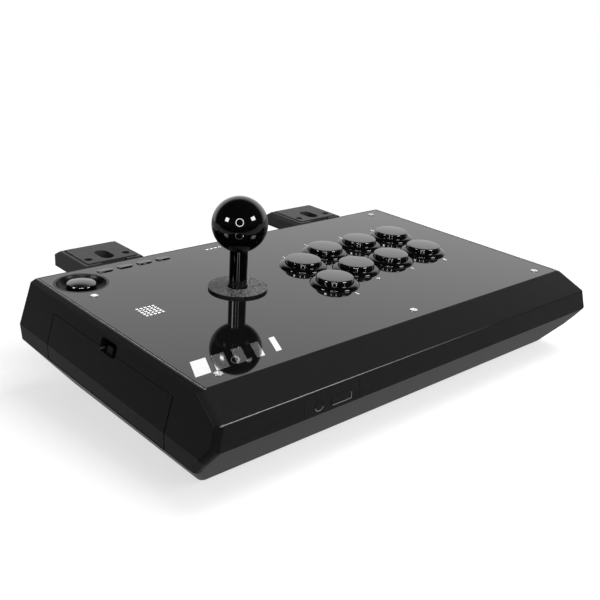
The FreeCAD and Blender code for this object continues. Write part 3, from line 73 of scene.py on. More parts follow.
# Backdrop in reflections: where it gives way to the dark room, and how it dims with height
BACKDROP_EDGE = (-0.52, -0.32)
BACKDROP_GLOW = 1.06
DARK_ROOM_GLOW = 0.035
BACKDROP_RISE = (0.50, 0.90)
BACKDROP_HIGH = 0.35
ROOM_LIGHT = 0.45

# Soft lamps: name, place and width in metres, power in watts
LAMPS = (
    ("overhead", Vector((0.45, -0.30, 1.10)), 0.8, 20.0),
    ("fill", Vector((0.15, -1.20, 0.80)), 0.8, 12.0),
)

# Lights that only show in polished surfaces, in metres and degrees
RING_RADIUS = 0.147
RING_WIRE = 0.012
RING_SEGMENTS = (64, 12)
RING_RISE = 0.06
RING_GLOW = 24.0
SOFTBOX_GLOW = 22.0
SOFTBOX_AWAY = 0.75
# Each softbox: turn away from the camera, direction of that turn, width and height
SOFTBOXES = ((54.8, 159.0, 0.20, 0.18), (60.0, 22.0, 0.24, 0.17))

# Case finish: bends and rises are parts of the surface's direction, rim and ridge fade are in metres
CASE_COLOUR = (0.0062, 0.0062, 0.0063)
CASE_SPREAD = 0.12
CASE_MOTTLE = 430.0
CASE_ROUGH = 0.32
CASE_GLOSS = 0.11
CASE_GRAIN = 2600.0
CASE_GRAIN_DEPTH = 0.00003
CASE_GRAIN_STRENGTH = 0.5
# Rounded corners: rougher, and given a darker colour as painted shade
CORNER_SHADE_COLOUR = (0.0010, 0.0010, 0.0010)
CORNER_ROUGH = 0.9
CORNER_BEND = (0.10, 0.24)
CORNER_RISE = (-0.25, -0.10)
# Painted highlight: a lighter colour along the rim, the front ridge and the socket lips
HIGHLIGHT_COLOUR = (0.13, 0.13, 0.13)
HIGHLIGHT_SPREAD = 0.30
RIM_BAND = 0.0002
RIM_STARTS = (0.0003, 0.0005)
RIM_ENDS = (0.0013, 0.0011)
RIDGE_LINE = ((0.08, 0.0), (0.15, 1.0), (0.24, 1.0), (0.32, 0.0))
RIDGE_RISE = (0.3, 0.4)
RIDGE_FADE = (0.06, -0.09)

# Finishes of the other materials
NOISE_SPAN = (0.3, 0.7)
GRAIN_STRENGTH = 0.6
TINT_COARSER = 6
ROUGH_COARSER = 3
ROUGH_SWAY = 0.05
GLOSS_BLACK = (0.0010, 0.0010, 0.0010)
GLOSS_SPREAD = 0.15
GLOSS_MOTTLE = 60.0
GLOSS_SWAY = (0.6, 1.4)
GLOSS_PATCHES = 90.0
METAL_SPREAD = 0.06
METAL_COARSER = 4
METAL_SWAY = (0.7, 1.3)
METAL_DEPTH = 0.00001
METAL_STRENGTH = 0.3
FOIL_METAL = 0.94
FOIL_SPREAD = 0.04
STIPPLE_SPAN = (0.40, 0.62)
# How far the washer's surface must face up to take the stipple; below that its dark tone is painted shade
STIPPLE_RISE = (0.4, 0.8)
STIPPLE_GLOSS = 0.25
STIPPLE_SPREAD = 0.12
STIPPLE_SWAY = 0.1
STIPPLE_DEPTH = 0.0004
STIPPLE_STRENGTH = 1.0

# Push buttons, in millimetres: radii, heights over the panel, and bends by their ends and handles
PUSH_BUTTONS = range(1, 9)
UPPER_ROW = range(1, 5)
BORE_RADIUS = 13.0
RIM_RADIUS = 17.0
RIM_INNER_BEND = ((BORE_RADIUS, 2.0), (BORE_RADIUS, 2.2), (13.1, 2.3), (13.3, 2.3))
RIM_OUTER_BEND = ((13.3, 2.3), (15.3, 2.1), (RIM_RADIUS, 1.45), (RIM_RADIUS, 0.0))
BARREL_RADIUS = 14.8
BARREL_FLOOR = -14.5
BARREL_END = -16.0
STEM_HOLE = 3.35
STEM_RADIUS = 3.0
STEM_END = -12.65
SKIRT_END = -4.0
PLUNGER_RADIUS = 12.65
SHOULDER_BEND = ((PLUNGER_RADIUS, 4.3), (PLUNGER_RADIUS, 5.0), (12.3, 5.42), (11.6, 5.52))
DOME_BEND = ((11.6, 5.52), (7.8, 5.9), (3.9, 6.0), (0.0, 6.0))

# Option keys, in millimetres: half widths, heights over the panel, and the rounded edge as a bend
OPTION_KEYS = range(1, 5)
KEY_HALF = 2.5
KEY_STRAIGHT = 6.2
KEY_FOOT_HALF = 2.3
KEY_END = -3.0
KEY_EDGE_BEND = ((KEY_HALF, 0.2), (KEY_HALF, 0.5), (KEY_HALF - 0.25, 0.65), (KEY_HALF - 0.6, 0.7))
KEY_CROWN_HALF = KEY_HALF - 1.2
KEY_MIDDLE_HALF = 0.02
KEY_TOP = 0.72

# Smoothness of the turned pieces
LATHE_SIDES = 128
BEND_STEPS = 12
SHARP_ANGLE = math.radians(30)

# Light lips on the lower sides of the socket outlines on the front port cover, a painted highlight, in millimetres
# and degrees
LIP_RADIUS = 0.2
LIP_SMOOTHNESS = 3
COVER_FACE = -126.55
ROUND_SOCKET = (-98.8, 37.85)
ROUND_SOCKET_R = 3.1
ROUND_LIP_TURNS = range(200, 341, 10)
FLAT_SOCKET = (-82.2, 37.85)
FLAT_SOCKET_W = 15.2
FLAT_SOCKET_H = 5.8
FLAT_CORNER = 0.8
FLAT_CORNER_HANDLE = 0.3
FLAT_LIP_SHORT = 2.0

# Print on the panel and the thickness of its cover, in metres
COVER_T = 0.002
PRINT_LIFT = 0.00003
PRINT_T = 0.00004
NUMBER_SIZE = 0.0042
NUMBER_REACH = 0.0212
BAR_START = -0.1545
BAR_STEP = 0.0135
BAR_WIDTHS = (0.0100, 0.0085, 0.0070, 0.0055, 0.0040)
BAR_LOW = -0.0792
BAR_HIGH = -0.0632
BAR_SLANT = 0.0075
DOT_PLACE = (-0.1330, 0.0010)
DOT_COUNT = 5
DOT_STEP = 0.0028
DOT_SIZE = 0.0016


def joint_axis(name):
    """The direction of a joint, as a vector."""
    return Vector(next(joint["axis"] for joint in frame["joints"] if joint["name"] == name))


# The panel's own directions, edge and middle
PANEL_UP = -joint_axis("button_1_press").normalized()
PANEL_BACK = PANEL_UP.cross(RIGHT)
cover_low, cover_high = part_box("panel_cover")
PANEL_EDGE = cover_high.x
PANEL_CENTRE = (cover_low + cover_high) / 2 + PANEL_UP * (COVER_T / 2)


def on_panel(across, along, lift=PRINT_LIFT):
    """A point on the panel's top, from its centre: across to the right, along to the back."""
    return PANEL_CENTRE + RIGHT * across + PANEL_BACK * along + PANEL_UP * lift


def panel_place(point):
    """How far right and back of the panel's centre a point is."""
    offset = point - PANEL_CENTRE
    return offset.x, offset.dot(PANEL_BACK)


def mapped(tree, value, span, levels=(0.0, 1.0)):
    """Takes a value through a span to two levels, and holds it there beyond the span's ends."""
    step = tree.nodes.new("ShaderNodeMapRange")
    for socket, number in zip(("From Min", "From Max", "To Min", "To Max"), (*span, *levels)):
        step.inputs[socket].default_value = number
    tree.links.new(value, step.inputs["Value"])
    return step.outputs["Result"]


def combined(tree, operation, *values):
    """One step of arithmetic on one or two values."""
    step = tree.nodes.new("ShaderNodeMath")
    step.operation = operation
    for socket, value in zip(step.inputs, values):
        tree.links.new(value, socket)
    return step.outputs["Value"]


def length_along(tree, point, way):
    """How far a point lies along a direction."""
    step = tree.nodes.new("ShaderNodeVectorMath")
    step.operation = "DOT_PRODUCT"
    step.inputs[1].default_value = way
    tree.links.new(point, step.inputs[0])
    return step.outputs["Value"]


def axes(tree, vector):
    """The parts of a vector, by the names of their axes."""
    parts = tree.nodes.new("ShaderNodeSeparateXYZ")
    tree.links.new(vector, parts.inputs[0])
    return parts.outputs


def ramp(tree, value, stops):
    """A colour that passes through stops, each a value and a colour."""
    step = tree.nodes.new("ShaderNodeValToRGB")
    marks = step.color_ramp.elements
    while len(marks) < len(stops):
        marks.new(0.5)
    for mark, (place, colour) in zip(marks, stops):
        mark.position = place
        mark.color = (*colour, 1.0)
    tree.links.new(value, step.inputs["Fac"])
    return step.outputs["Color"]


def blended(tree, factor, first, second):
    """A colour between two, by a factor."""
    mix = tree.nodes.new("ShaderNodeMix")
    mix.data_type = "RGBA"
    tree.links.new(factor, mix.inputs["Factor"])
    tree.links.new(first, mix.inputs["A"])
    tree.links.new(second, mix.inputs["B"])
    return mix.outputs["Result"]


def noise(tree, scale, detail=3.0):
    """A noise pattern in the part's own coordinates."""
    place = tree.nodes.new("ShaderNodeTexCoord")
    pattern = tree.nodes.new("ShaderNodeTexNoise")
    pattern.inputs["Scale"].default_value = scale
    pattern.inputs["Detail"].default_value = detail
    tree.links.new(place.outputs["Object"], pattern.inputs["Vector"])
    return pattern.outputs["Fac"]


def mottle(tree, colour, spread, scale):
    """A colour that varies a little either side of a mean."""
    tones = [[part * share for part in colour] for share in (1 - spread, 1 + spread)]
    return ramp(tree, noise(tree, scale), list(zip(NOISE_SPAN, tones)))


def tinted(tree, shader, colour, spread, scale):
    """Varies the base colour a little either side of a mean."""
    tree.links.new(mottle(tree, colour, spread, scale), shader.inputs["Base Color"])


def roughened(tree, shader, low, high, scale):
    """Varies the roughness between two values."""
    tree.links.new(mapped(tree, noise(tree, scale), NOISE_SPAN, (low, high)), shader.inputs["Roughness"])


def bumped(tree, shader, scale, depth, strength):
    """Raises a fine grain on the surface."""
    bump = tree.nodes.new("ShaderNodeBump")
    bump.inputs["Distance"].default_value = depth
    bump.inputs["Strength"].default_value = strength
    tree.links.new(noise(tree, scale, detail=2.0), bump.inputs["Height"])
    tree.links.new(bump.outputs["Normal"], shader.inputs["Normal"])


def new_material(name):
    """A new material, its node tree and its shader."""
    material = bpy.data.materials.new(name)
    material.use_nodes = True
    return material, material.node_tree, material.node_tree.nodes["Principled BSDF"]


def moulded(name, colour, rough, grain, depth, specular=0.5, spread=0.12):
    """Moulded plastic or rubber with a fine grain."""
    material, tree, shader = new_material(name)
    shader.inputs["Specular IOR Level"].default_value = specular
    tinted(tree, shader, colour, spread, grain / TINT_COARSER)
    roughened(tree, shader, rough - ROUGH_SWAY, rough + ROUGH_SWAY, grain / ROUGH_COARSER)
    bumped(tree, shader, grain, depth, GRAIN_STRENGTH)
    return material


def polished(name, rough, index, colour=GLOSS_BLACK):
    """Polished plastic: almost a mirror, with slight changes in its gloss."""
    material, tree, shader = new_material(name)
    shader.inputs["IOR"].default_value = index
    tinted(tree, shader, colour, GLOSS_SPREAD, GLOSS_MOTTLE)
    roughened(tree, shader, rough * GLOSS_SWAY[0], rough * GLOSS_SWAY[1], GLOSS_PATCHES)
    return material


def metal(name, colour, rough, grain):
    """Bare or plated metal with fine working marks."""
    material, tree, shader = new_material(name)
    shader.inputs["Metallic"].default_value = 1.0
    tinted(tree, shader, colour, METAL_SPREAD, grain / METAL_COARSER)
    roughened(tree, shader, rough * METAL_SWAY[0], rough * METAL_SWAY[1], grain)
    bumped(tree, shader, grain, METAL_DEPTH, METAL_STRENGTH)
    return material


def foil(name, colour, rough, grain):
    """Thin mirror print that also scatters a little light."""
    material, tree, shader = new_material(name)
    shader.inputs["Metallic"].default_value = FOIL_METAL
    tinted(tree, shader, colour, FOIL_SPREAD, grain)
    roughened(tree, shader, rough * METAL_SWAY[0], rough * METAL_SWAY[1], grain)
    return material


def stippled(name, tones, rough, grain):
    """Plastic with a coarse, glittering stipple between two tones on its upper side, and painted shade that leaves
    its edges and sides dark.
    """
    material, tree, shader = new_material(name)
    shader.inputs["Specular IOR Level"].default_value = STIPPLE_GLOSS
    dark, light = [(tone, tone, tone) for tone in tones]
    speckle = ramp(tree, noise(tree, grain, detail=1.0), list(zip(STIPPLE_SPAN, (dark, light))))
    surface = tree.nodes.new("ShaderNodeNewGeometry")
    upward = mapped(tree, axes(tree, surface.outputs["Normal"])["Z"], STIPPLE_RISE)
    # Painted shade: sides that don't face up take the dark tone
    edge = mottle(tree, dark, STIPPLE_SPREAD, grain)
    tree.links.new(blended(tree, upward, edge, speckle), shader.inputs["Base Color"])
    roughened(tree, shader, rough - STIPPLE_SWAY, rough + STIPPLE_SWAY, grain)
    bumped(tree, shader, grain, STIPPLE_DEPTH, STIPPLE_STRENGTH)
    return material


def rim_line(tree, place):
    """Marks the inner edge of the case's rim, beside the panel's two short sides, for a painted highlight."""
    top = PANEL_CENTRE.dot(PANEL_UP)
    level = mapped(tree, length_along(tree, place, PANEL_UP), (top - RIM_BAND, top - RIM_BAND / 2))
    across = combined(tree, "ABSOLUTE", axes(tree, place)["X"])
    starts = mapped(tree, across, [PANEL_EDGE + reach for reach in RIM_STARTS])
    ends = mapped(tree, across, [PANEL_EDGE + reach for reach in RIM_ENDS])
    return combined(tree, "MULTIPLY", level, combined(tree, "MULTIPLY", starts, ends))


def ridge_line(tree, place, facing):
    """Marks the middle of the rounded ridge along the front of the case for a painted highlight, fading out to the
    right.
    """
    away = mapped(tree, combined(tree, "ABSOLUTE", facing["Y"]), (1.0, 0.0))
    line = ramp(tree, away, [(reach, (level, level, level)) for reach, level in RIDGE_LINE])
    upward = mapped(tree, facing["Z"], RIDGE_RISE)
    fading = mapped(tree, axes(tree, place)["X"], RIDGE_FADE)
    return combined(tree, "MULTIPLY", line, combined(tree, "MULTIPLY", upward, fading))


def case_material():
    """The case's satin plastic: rougher and darker on rounded corners as painted shade, with a painted highlight
    along its rim and front ridge.
    """
    material, tree, shader = new_material("case_plastic")
    shader.inputs["Specular IOR Level"].default_value = CASE_GLOSS
    bumped(tree, shader, CASE_GRAIN, CASE_GRAIN_DEPTH, CASE_GRAIN_STRENGTH)
    surface = tree.nodes.new("ShaderNodeNewGeometry")
    place = surface.outputs["Position"]
    facing = axes(tree, surface.outputs["Normal"])
    sideways = combined(tree, "ABSOLUTE", combined(tree, "MULTIPLY", facing["X"], facing["Y"]))
    upward = mapped(tree, facing["Z"], CORNER_RISE)
    corner = combined(tree, "MULTIPLY", mapped(tree, sideways, CORNER_BEND), upward)
    rough = mapped(tree, corner, (0.0, 1.0), (CASE_ROUGH, CORNER_ROUGH))
    tree.links.new(rough, shader.inputs["Roughness"])
    # Painted shade: rounded corners take a darker colour
    plain = blended(tree, corner, mottle(tree, CASE_COLOUR, CASE_SPREAD, CASE_MOTTLE),
                    mottle(tree, CORNER_SHADE_COLOUR, CASE_SPREAD, CASE_MOTTLE))
    # Painted highlight along the rim and the front ridge
    painted_highlight = combined(tree, "MAXIMUM", rim_line(tree, place), ridge_line(tree, place, facing))
    tone = blended(tree, painted_highlight, plain, mottle(tree, HIGHLIGHT_COLOUR, HIGHLIGHT_SPREAD, CASE_MOTTLE))
    tree.links.new(tone, shader.inputs["Base Color"])
    return material


def make_materials():
    """One material for each slot of the record."""
    return {
        "case_plastic": case_material(),
        "panel_gloss": polished("panel_gloss", rough=0.03, index=1.56, colour=(0.003, 0.003, 0.0032)),
        "button_gloss": polished("button_gloss", rough=0.04, index=1.95),
        "plate_steel": moulded("plate_steel", (0.06, 0.06, 0.065), rough=0.45, grain=1800.0, depth=0.00003),
        "dark_screw": moulded("dark_screw", (0.0008, 0.0008, 0.0008), rough=0.6, grain=2000.0,
                              depth=0.00002, specular=0.04),
        "screw_steel": metal("screw_steel", (0.86, 0.86, 0.86), rough=0.22, grain=3000.0),
        "shaft_steel": metal("shaft_steel", (0.62, 0.62, 0.63), rough=0.25, grain=2000.0),
        "lever_plastic": moulded("lever_plastic", (0.03, 0.03, 0.032), rough=0.45, grain=1500.0,
                                 depth=0.00004),
        "bush_plastic": moulded("bush_plastic", (0.70, 0.70, 0.66), rough=0.4, grain=1200.0, depth=0.00003),
        "washer_plastic": stippled("washer_plastic", tones=(0.004, 0.115), rough=0.45, grain=800.0),
        "cleat_plastic": moulded("cleat_plastic", (0.024, 0.024, 0.025), rough=0.48, grain=1800.0,
                                 depth=0.00005, specular=0.25),
        "rubber": moulded("rubber", (0.02, 0.02, 0.02), rough=0.8, grain=1400.0, depth=0.00008,
                          specular=0.3),
        "board": moulded("board", (0.02, 0.13, 0.05), rough=0.3, grain=700.0, depth=0.00003),
        "light_plastic": moulded("light_plastic", (0.72, 0.73, 0.75), rough=0.25, grain=900.0,
                                 depth=0.00002, spread=0.04),
    }


MATERIALS = make_materials()
BALL_GLOSS = polished("ball_gloss", rough=0.03, index=1.50)
RIM_GLOSS = polished("rim_gloss", rough=0.04, index=1.50)
SILVER = foil("silver_print", (0.90, 0.90, 0.90), rough=0.05, grain=300.0)
INK = moulded("white_print", (0.80, 0.80, 0.80), rough=0.4, grain=1500.0, depth=0.00001, specular=0.4,
              spread=0.05)
# Light colour of the socket lips, a painted highlight
LIP_HIGHLIGHT = moulded("lip_highlight", HIGHLIGHT_COLOUR, rough=0.35, grain=2600.0, depth=0.00002, specular=0.3,
                    spread=HIGHLIGHT_SPREAD)

# Nodes with a finish of their own in place of their slot's
FINISHES = {
    "home_plunger": polished("home_gloss", rough=0.04, index=2.15),
    "home_bezel": moulded("dish_satin", (0.0012, 0.0012, 0.0012), rough=0.32, grain=2200.0, depth=0.00001,
                          specular=0.2),
    "ball_top": BALL_GLOSS,
    "shaft_cover": BALL_GLOSS,
}


def paint_nodes():
    """Gives each modelled node its own finish, or else the material of its slot."""
    for row in RECORD["subparts"]:
        node = NODES[row["node"]]
        node.data.materials.clear()
        node.data.materials.append(FINISHES.get(row["node"], MATERIALS[row["material_slot"]]))


def linked(name, data):
    """A new object in the scene."""
    piece = bpy.data.objects.new(name, data)
    bpy.context.scene.collection.objects.link(piece)
    return piece


def panel_axis(node):
    """Where the axis of a turned node meets the panel's top, as (across, along)."""
    places = [panel_place(NODES[node].matrix_world @ vertex.co) for vertex in NODES[node].data.vertices]
    return [(min(side) + max(side)) / 2 for side in zip(*places)]


def bend(*handles):
    """Points of a smooth bend from its first end by two handles to its last end, without the first."""
    points = []
    for step in range(1, BEND_STEPS + 1):
        t = step / BEND_STEPS
        weights = ((1 - t) ** 3, 3 * t * (1 - t) ** 2, 3 * t * t * (1 - t), t ** 3)
        points.append([sum(weight * part for weight, part in zip(weights, side)) for side in zip(*handles)])
    return points


def skinned(name, rings, closed, material):
    """A smooth piece stretched over rings of points, each a full outline or a single point."""
    mesh = bmesh.new()
    rows = [[mesh.verts.new(point) for point in ring] for ring in rings]
    sides = max(len(row) for row in rows)
    pairs = list(zip(rows, rows[1:]))
    if closed:
        pairs.append((rows[-1], rows[0]))
    for low, high in pairs:
        for turn in range(sides):
            after = (turn + 1) % sides
            corners = [low[turn % len(low)], low[after % len(low)]]
            corners += [high[after % len(high)], high[turn % len(high)]]
            mesh.faces.new(list(dict.fromkeys(corners)))
    bmesh.ops.recalc_face_normals(mesh, faces=mesh.faces)
    data = bpy.data.meshes.new(name)
    mesh.to_mesh(data)
    mesh.free()
    data.shade_smooth()
    data.set_sharp_from_angle(angle=SHARP_ANGLE)
    data.materials.append(material)
    piece = linked(name, data)
    return piece


def round_outline(radius, height, across, along):
    """Points of a circle over the panel, or its centre where it has no radius."""
    sides = LATHE_SIDES if radius > 0 else 1
    points = []
    for turn in range(sides):
        angle = 2 * math.pi * turn / sides
        right, back = radius * MM * math.cos(angle), radius * MM * math.sin(angle)
        points.append(on_panel(across + right, along + back, height * MM))
    return points


def pill_outline(radius, height, across, along):
    """Points of a pill shape over the panel: two half circles joined by straight sides."""
    points = []
    for turn in range(LATHE_SIDES):
        angle = 2 * math.pi * (turn + 0.5) / LATHE_SIDES
        reach = math.copysign(KEY_STRAIGHT / 2, math.cos(angle))
        right, back = (reach + radius * math.cos(angle)) * MM, radius * math.sin(angle) * MM
        points.append(on_panel(across + right, along + back, height * MM))
    return points


def lathe(name, profile, across, along, closed, material):
    """A turned piece standing on the panel, from a profile of radii and heights."""
    rings = [round_outline(radius, height, across, along) for radius, height in profile]
    return skinned(name, rings, closed, material)


def rim_profile():
    """Outline of a button's housing: a rounded rim on the panel and the barrel below it."""
    outside = [(BARREL_RADIUS, 0.0), (BARREL_RADIUS, BARREL_END), (STEM_HOLE, BARREL_END)]
    inside = [(STEM_HOLE, BARREL_FLOOR), (BORE_RADIUS, BARREL_FLOOR), RIM_INNER_BEND[0]]
    return bend(*RIM_INNER_BEND) + bend(*RIM_OUTER_BEND) + outside + inside


def plunger_profile():
    """Outline of a button's plunger: stem, skirt, soft shoulder and a low dome."""
    stem = [(0.0, STEM_END), (STEM_RADIUS, STEM_END), (STEM_RADIUS, SKIRT_END)]
    skirt = [(PLUNGER_RADIUS, SKIRT_END), SHOULDER_BEND[0]]
    return stem + skirt + bend(*SHOULDER_BEND) + bend(*DOME_BEND)


def push_buttons():
    """Smooth housings and plungers in place of the modelled ones."""
    gloss = MATERIALS["button_gloss"]
    for digit in PUSH_BUTTONS:
        across, along = panel_axis("button_plunger_%d" % digit)
        housing = lathe("rim_%d" % digit, rim_profile(), across, along, True, RIM_GLOSS)
        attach(housing, "case")
        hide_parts("button_body_%d" % digit)
        plunger = lathe("plunger_%d" % digit, plunger_profile(), across, along, False, gloss)
        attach(plunger, "button_%d" % digit)
        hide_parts("button_plunger_%d" % digit)


def key_profile():
    """Outline of an option key: a straight side, a rounded edge and a nearly flat top."""
    side = [(KEY_FOOT_HALF, KEY_END), (KEY_HALF, KEY_END), KEY_EDGE_BEND[0]]
    return side + bend(*KEY_EDGE_BEND) + [(KEY_CROWN_HALF, KEY_TOP), (KEY_MIDDLE_HALF, KEY_TOP)]


def option_keys():
    """Smooth keys with softly rounded tops in place of the modelled ones."""
    for number in OPTION_KEYS:
        across, along = panel_axis("option_button_%d" % number)
        rings = [[on_panel(across, along, KEY_END * MM)]]
        rings += [pill_outline(radius, height, across, along) for radius, height in key_profile()]
        rings += [[on_panel(across, along, KEY_TOP * MM)]]
        key = skinned("option_key_%d" % number, rings, False, MATERIALS["button_gloss"])
        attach(key, "option_%d" % number)
        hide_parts("option_button_%d" % number)


def as_mesh(curve, material):
    """The mesh of a curve or text, in one material."""
    shown = linked(curve.name, curve)
    bpy.context.view_layer.update()
    mesh = bpy.data.meshes.new_from_object(shown.evaluated_get(bpy.context.evaluated_depsgraph_get()))
    bpy.data.objects.remove(shown)
    mesh.materials.clear()
    mesh.materials.append(material)
    return mesh


def lip(name, points):
    """A thin raised line on the front port cover, through points given as (across, height), in the light colour of
    a painted highlight.
    """
    curve = bpy.data.curves.new(name, "CURVE")
    curve.dimensions = "3D"
    curve.bevel_depth = LIP_RADIUS * MM
    curve.bevel_resolution = LIP_SMOOTHNESS
    curve.use_fill_caps = True
    spline = curve.splines.new("POLY")
    spline.points.add(len(points) - 1)
    for knot, (across, height) in zip(spline.points, points):
        knot.co = Vector((across * MM, COVER_FACE * MM, height * MM)).to_4d()
    piece = linked(name, as_mesh(curve, LIP_HIGHLIGHT))
    piece.data.shade_smooth()
    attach(piece, "case")


def socket_lips():
    """The lower lips of the round and the flat socket outline on the front port cover, drawn in a light colour as
    a painted highlight.
    """
    across, height = ROUND_SOCKET
    turns = [math.radians(turn) for turn in ROUND_LIP_TURNS]
    lip("round_lip", [(across + ROUND_SOCKET_R * math.cos(turn), height + ROUND_SOCKET_R * math.sin(turn))
                      for turn in turns])
    across, height = FLAT_SOCKET
    left, right = across - FLAT_SOCKET_W / 2, across + FLAT_SOCKET_W / 2
    low, high = height - FLAT_SOCKET_H / 2, height + FLAT_SOCKET_H / 2
    corner = bend((right - FLAT_CORNER, low), (right - FLAT_CORNER_HANDLE, low),
                  (right, low + FLAT_CORNER_HANDLE), (right, low + FLAT_CORNER))
    bottom = [(left + FLAT_CORNER, low), (right - FLAT_CORNER, low)]
    lip("flat_lip", bottom + corner + [(right, high - FLAT_LIP_SHORT)])


def panel_matrix(across, along):
    """Where a mark drawn in its own XY plane lies on the panel."""
    turn = Matrix((RIGHT, PANEL_BACK, PANEL_UP)).transposed().to_4x4()
    return Matrix.Translation(on_panel(across, along)) @ turn


def printed_number(digit, across, along):
    """A small plain number on the panel."""
    name = "number_%d" % digit
    text = bpy.data.curves.new(name, "FONT")
    text.body = str(digit)
    text.size = NUMBER_SIZE
    text.align_x = "CENTER"
    text.align_y = "CENTER"
    text.extrude = PRINT_T
    mark = linked(name, as_mesh(text, INK))
    mark.matrix_world = panel_matrix(across, along)
    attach(mark, "case")


def button_numbers():
    """Numbers beside the push buttons: behind the upper row, in front of the lower row."""
    for digit in PUSH_BUTTONS:
        low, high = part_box("button_body_%d" % digit)
        across, along = panel_place((low + high) / 2)
        printed_number(digit, across, along + (NUMBER_REACH if digit in UPPER_ROW else -NUMBER_REACH))


def printed_shape(name, rings, material):
    """A flat printed mark made of four-sided patches on the panel."""
    points, faces = [], []
    for ring in rings:
        faces.append(tuple(range(len(points), len(points) + len(ring))))
        points += [on_panel(across, along) for across, along in ring]
    mesh = bpy.data.meshes.new(name)
    mesh.from_pydata(points, [], faces)
    mesh.materials.append(material)
    mark = linked(name, mesh)
    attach(mark, "case")


def slanted_bars():
    """A row of slanted silver bars, each narrower than the last, near the front left corner."""
    rings = []
    for number, width in enumerate(BAR_WIDTHS):
        left = BAR_START + number * BAR_STEP
        right = left + width
        rings.append([(left, BAR_LOW), (right, BAR_LOW), (right + BAR_SLANT, BAR_HIGH),
                      (left + BAR_SLANT, BAR_HIGH)])
    printed_shape("slanted_bars", rings, SILVER)


def dot_square():
    """A plain square of small dots."""
    rings = []
    for row in range(DOT_COUNT):
        for column in range(DOT_COUNT):
            x, y = DOT_PLACE[0] + column * DOT_STEP, DOT_PLACE[1] + row * DOT_STEP
            rings.append([(x, y), (x + DOT_SIZE, y), (x + DOT_SIZE, y + DOT_SIZE), (x, y + DOT_SIZE)])
    printed_shape("dot_square", rings, INK)


def aimed(obj, place):
    """Puts a camera or lamp at a place and turns it to the object."""
    obj.location = place
    obj.rotation_mode = "QUATERNION"
    obj.rotation_quaternion = (CAMERA_TARGET - place).to_track_quat("-Z", "Y")


def add_camera():
    """Camera at the photograph's place."""
    data = bpy.data.cameras.new("camera")
    data.lens = CAMERA_LENS
    data.sensor_width = CAMERA_SENSOR
    data.clip_start, data.clip_end = CAMERA_CLIP
    camera = linked("camera", data)
    aimed(camera, CAMERA_PLACE)
    bpy.context.scene.camera = camera


def ray_kinds(tree):
    """Factors for what the camera sees itself, and for what shows in a mirror or through glass."""
    path = tree.nodes.new("ShaderNodeLightPath").outputs
    shiny_ray = combined(tree, "MAXIMUM", path["Is Glossy Ray"], path["Is Transmission Ray"])
    return path["Is Camera Ray"], shiny_ray


def white_glow(tree, kind, strength=1.0):
    """A white background or emission."""
    glow = tree.nodes.new(kind)
    glow.inputs["Color"].default_value = WHITE
    glow.inputs["Strength"].default_value = strength
    return glow


def mixed(tree, factor, first, second):
    """One shader or another, by a factor."""
    mix = tree.nodes.new("ShaderNodeMixShader")
    tree.links.new(factor, mix.inputs["Fac"])
    tree.links.new(first.outputs[0], mix.inputs[1])
    tree.links.new(second.outputs[0], mix.inputs[2])
    return mix


def add_world():
    """White behind the object, a dark room on the camera's side in reflections, and soft room light."""
    world = bpy.data.worlds.new("studio")
    bpy.context.scene.world = world
    world.use_nodes = True
    tree = world.node_tree
    tree.nodes.clear()
    way = tree.nodes.new("ShaderNodeTexCoord").outputs["Generated"]
    edge = mapped(tree, length_along(tree, way, VIEW_WAY), BACKDROP_EDGE, (BACKDROP_GLOW, DARK_ROOM_GLOW))
    rise = mapped(tree, axes(tree, way)["Z"], BACKDROP_RISE, (1.0, BACKDROP_HIGH))
    mirrored = white_glow(tree, "ShaderNodeBackground")
    tree.links.new(combined(tree, "MULTIPLY", edge, rise), mirrored.inputs["Strength"])
    room = white_glow(tree, "ShaderNodeBackground", ROOM_LIGHT)
    backdrop = white_glow(tree, "ShaderNodeBackground")
    camera_ray, shiny_ray = ray_kinds(tree)
    shown = mixed(tree, camera_ray, mixed(tree, shiny_ray, room, mirrored), backdrop)
    output = tree.nodes.new("ShaderNodeOutputWorld")
    tree.links.new(shown.outputs[0], output.inputs["Surface"])


def bare_material(name):
    """A new material with nothing in its tree but the output, with the tree and the output's socket."""
    material = bpy.data.materials.new(name)
    material.use_nodes = True
    tree = material.node_tree
    tree.nodes.clear()
    return material, tree, tree.nodes.new("ShaderNodeOutputMaterial").inputs["Surface"]


def floor_material():
    """Pale floor that shows white to the camera and keeps a soft shadow."""
    material, tree, surface = bare_material("floor")
    matt = tree.nodes.new("ShaderNodeBsdfDiffuse")
    matt.inputs["Color"].default_value = FLOOR_COLOUR
    place = tree.nodes.new("ShaderNodeNewGeometry").outputs["Position"]
    distance = tree.nodes.new("ShaderNodeVectorMath")
    distance.operation = "LENGTH"
    tree.links.new(place, distance.inputs[0])
    fade = mapped(tree, distance.outputs["Value"], FLOOR_FADE, (FLOOR_GLOW, 1.0))
    camera_ray, shiny_ray = ray_kinds(tree)
    share = combined(tree, "MULTIPLY", camera_ray, fade)
    seen = mixed(tree, share, matt, white_glow(tree, "ShaderNodeEmission"))
    near = mapped(tree, length_along(tree, place, LEVEL_WAY), FLOOR_DARK, (FLOOR_MIRRORED, 0.0))
    mirrored = white_glow(tree, "ShaderNodeEmission")
    tree.links.new(near, mirrored.inputs["Strength"])
    tree.links.new(mixed(tree, shiny_ray, seen, mirrored).outputs[0], surface)
    return material


def glow_material(name, strength):
    """Plain white glow of a studio light as it shows in polished surfaces."""
    material, tree, surface = bare_material(name)
    tree.links.new(white_glow(tree, "ShaderNodeEmission", strength).outputs[0], surface)
    return material


def rectangle(name, width, height, material):
    """A flat sheet about its own centre."""
    x, y = width / 2, height / 2
    mesh = bpy.data.meshes.new(name)
    mesh.from_pydata([(-x, -y, 0), (x, -y, 0), (x, y, 0), (-x, y, 0)], [], [(0, 1, 2, 3)])
    mesh.materials.append(material)
    return linked(name, mesh)


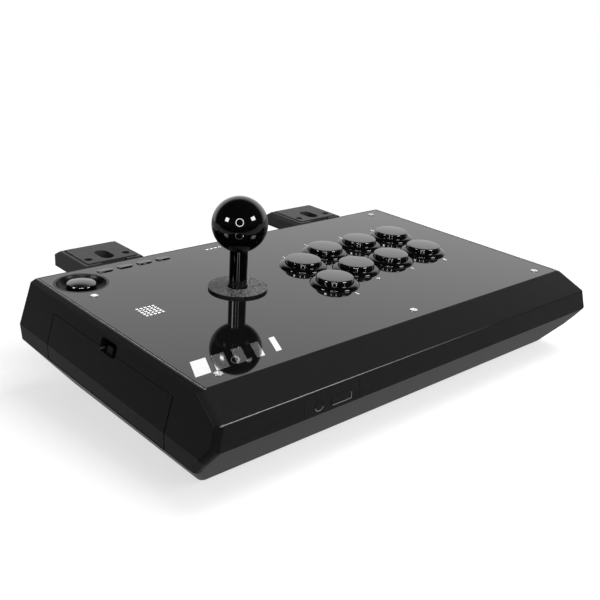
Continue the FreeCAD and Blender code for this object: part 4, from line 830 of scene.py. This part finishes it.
def add_floor():
    """A large plain floor at the height of the feet."""
    floor = rectangle("floor", FLOOR_SIZE, FLOOR_SIZE, floor_material())


def add_lamp(name, place, size, power):
    """A square soft lamp that faces the object and isn't itself mirrored in it."""
    data = bpy.data.lights.new(name, "AREA")
    data.shape = "SQUARE"
    data.size = size
    data.energy = power
    lamp = linked(name, data)
    aimed(lamp, place)
    lamp.visible_camera = False
    lamp.visible_glossy = False


def mirrored_only(obj, place):
    """Turns a light from a place to the object, and shows it only in polished surfaces."""
    turn = (CAMERA_TARGET - place).to_track_quat("Z", "Y").to_matrix().to_4x4()
    obj.matrix_world = Matrix.Translation(place) @ turn
    obj.visible_camera = False
    obj.visible_diffuse = False
    obj.visible_shadow = False
    obj.visible_transmission = False


def add_ring_light():
    """The ring round the lens, as the ball and shaft mirror it."""
    around, across = RING_SEGMENTS
    bpy.ops.mesh.primitive_torus_add(major_radius=RING_RADIUS, minor_radius=RING_WIRE,
                                     major_segments=around, minor_segments=across)
    ring = bpy.context.object
    ring.name = "ring_light"
    ring.data.materials.append(glow_material("ring_glow", RING_GLOW))
    mirrored_only(ring, CAMERA_PLACE + UP * RING_RISE)


def add_softboxes():
    """One light each side of the camera, as the ball mirrors them."""
    low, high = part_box("ball_top")
    ball = (low + high) / 2
    to_camera = (CAMERA_PLACE - ball).normalized()
    right = UP.cross(to_camera).normalized()
    above = to_camera.cross(right)
    for number, (turn, round_way, width, height) in enumerate(SOFTBOXES, 1):
        turn, round_way = math.radians(turn), math.radians(round_way)
        aside = right * math.cos(round_way) + above * math.sin(round_way)
        place = ball + (to_camera * math.cos(turn) + aside * math.sin(turn)) * SOFTBOX_AWAY
        glow = glow_material("softbox_glow", SOFTBOX_GLOW)
        mirrored_only(rectangle("softbox_%d" % number, width, height, glow), place)


paint_nodes()
push_buttons()
option_keys()
socket_lips()
button_numbers()
slanted_bars()
dot_square()
add_camera()
add_world()
add_floor()
for lamp in LAMPS:
    add_lamp(*lamp)
add_ring_light()
add_softboxes()
bpy.context.scene.view_settings.view_transform = "Standard"
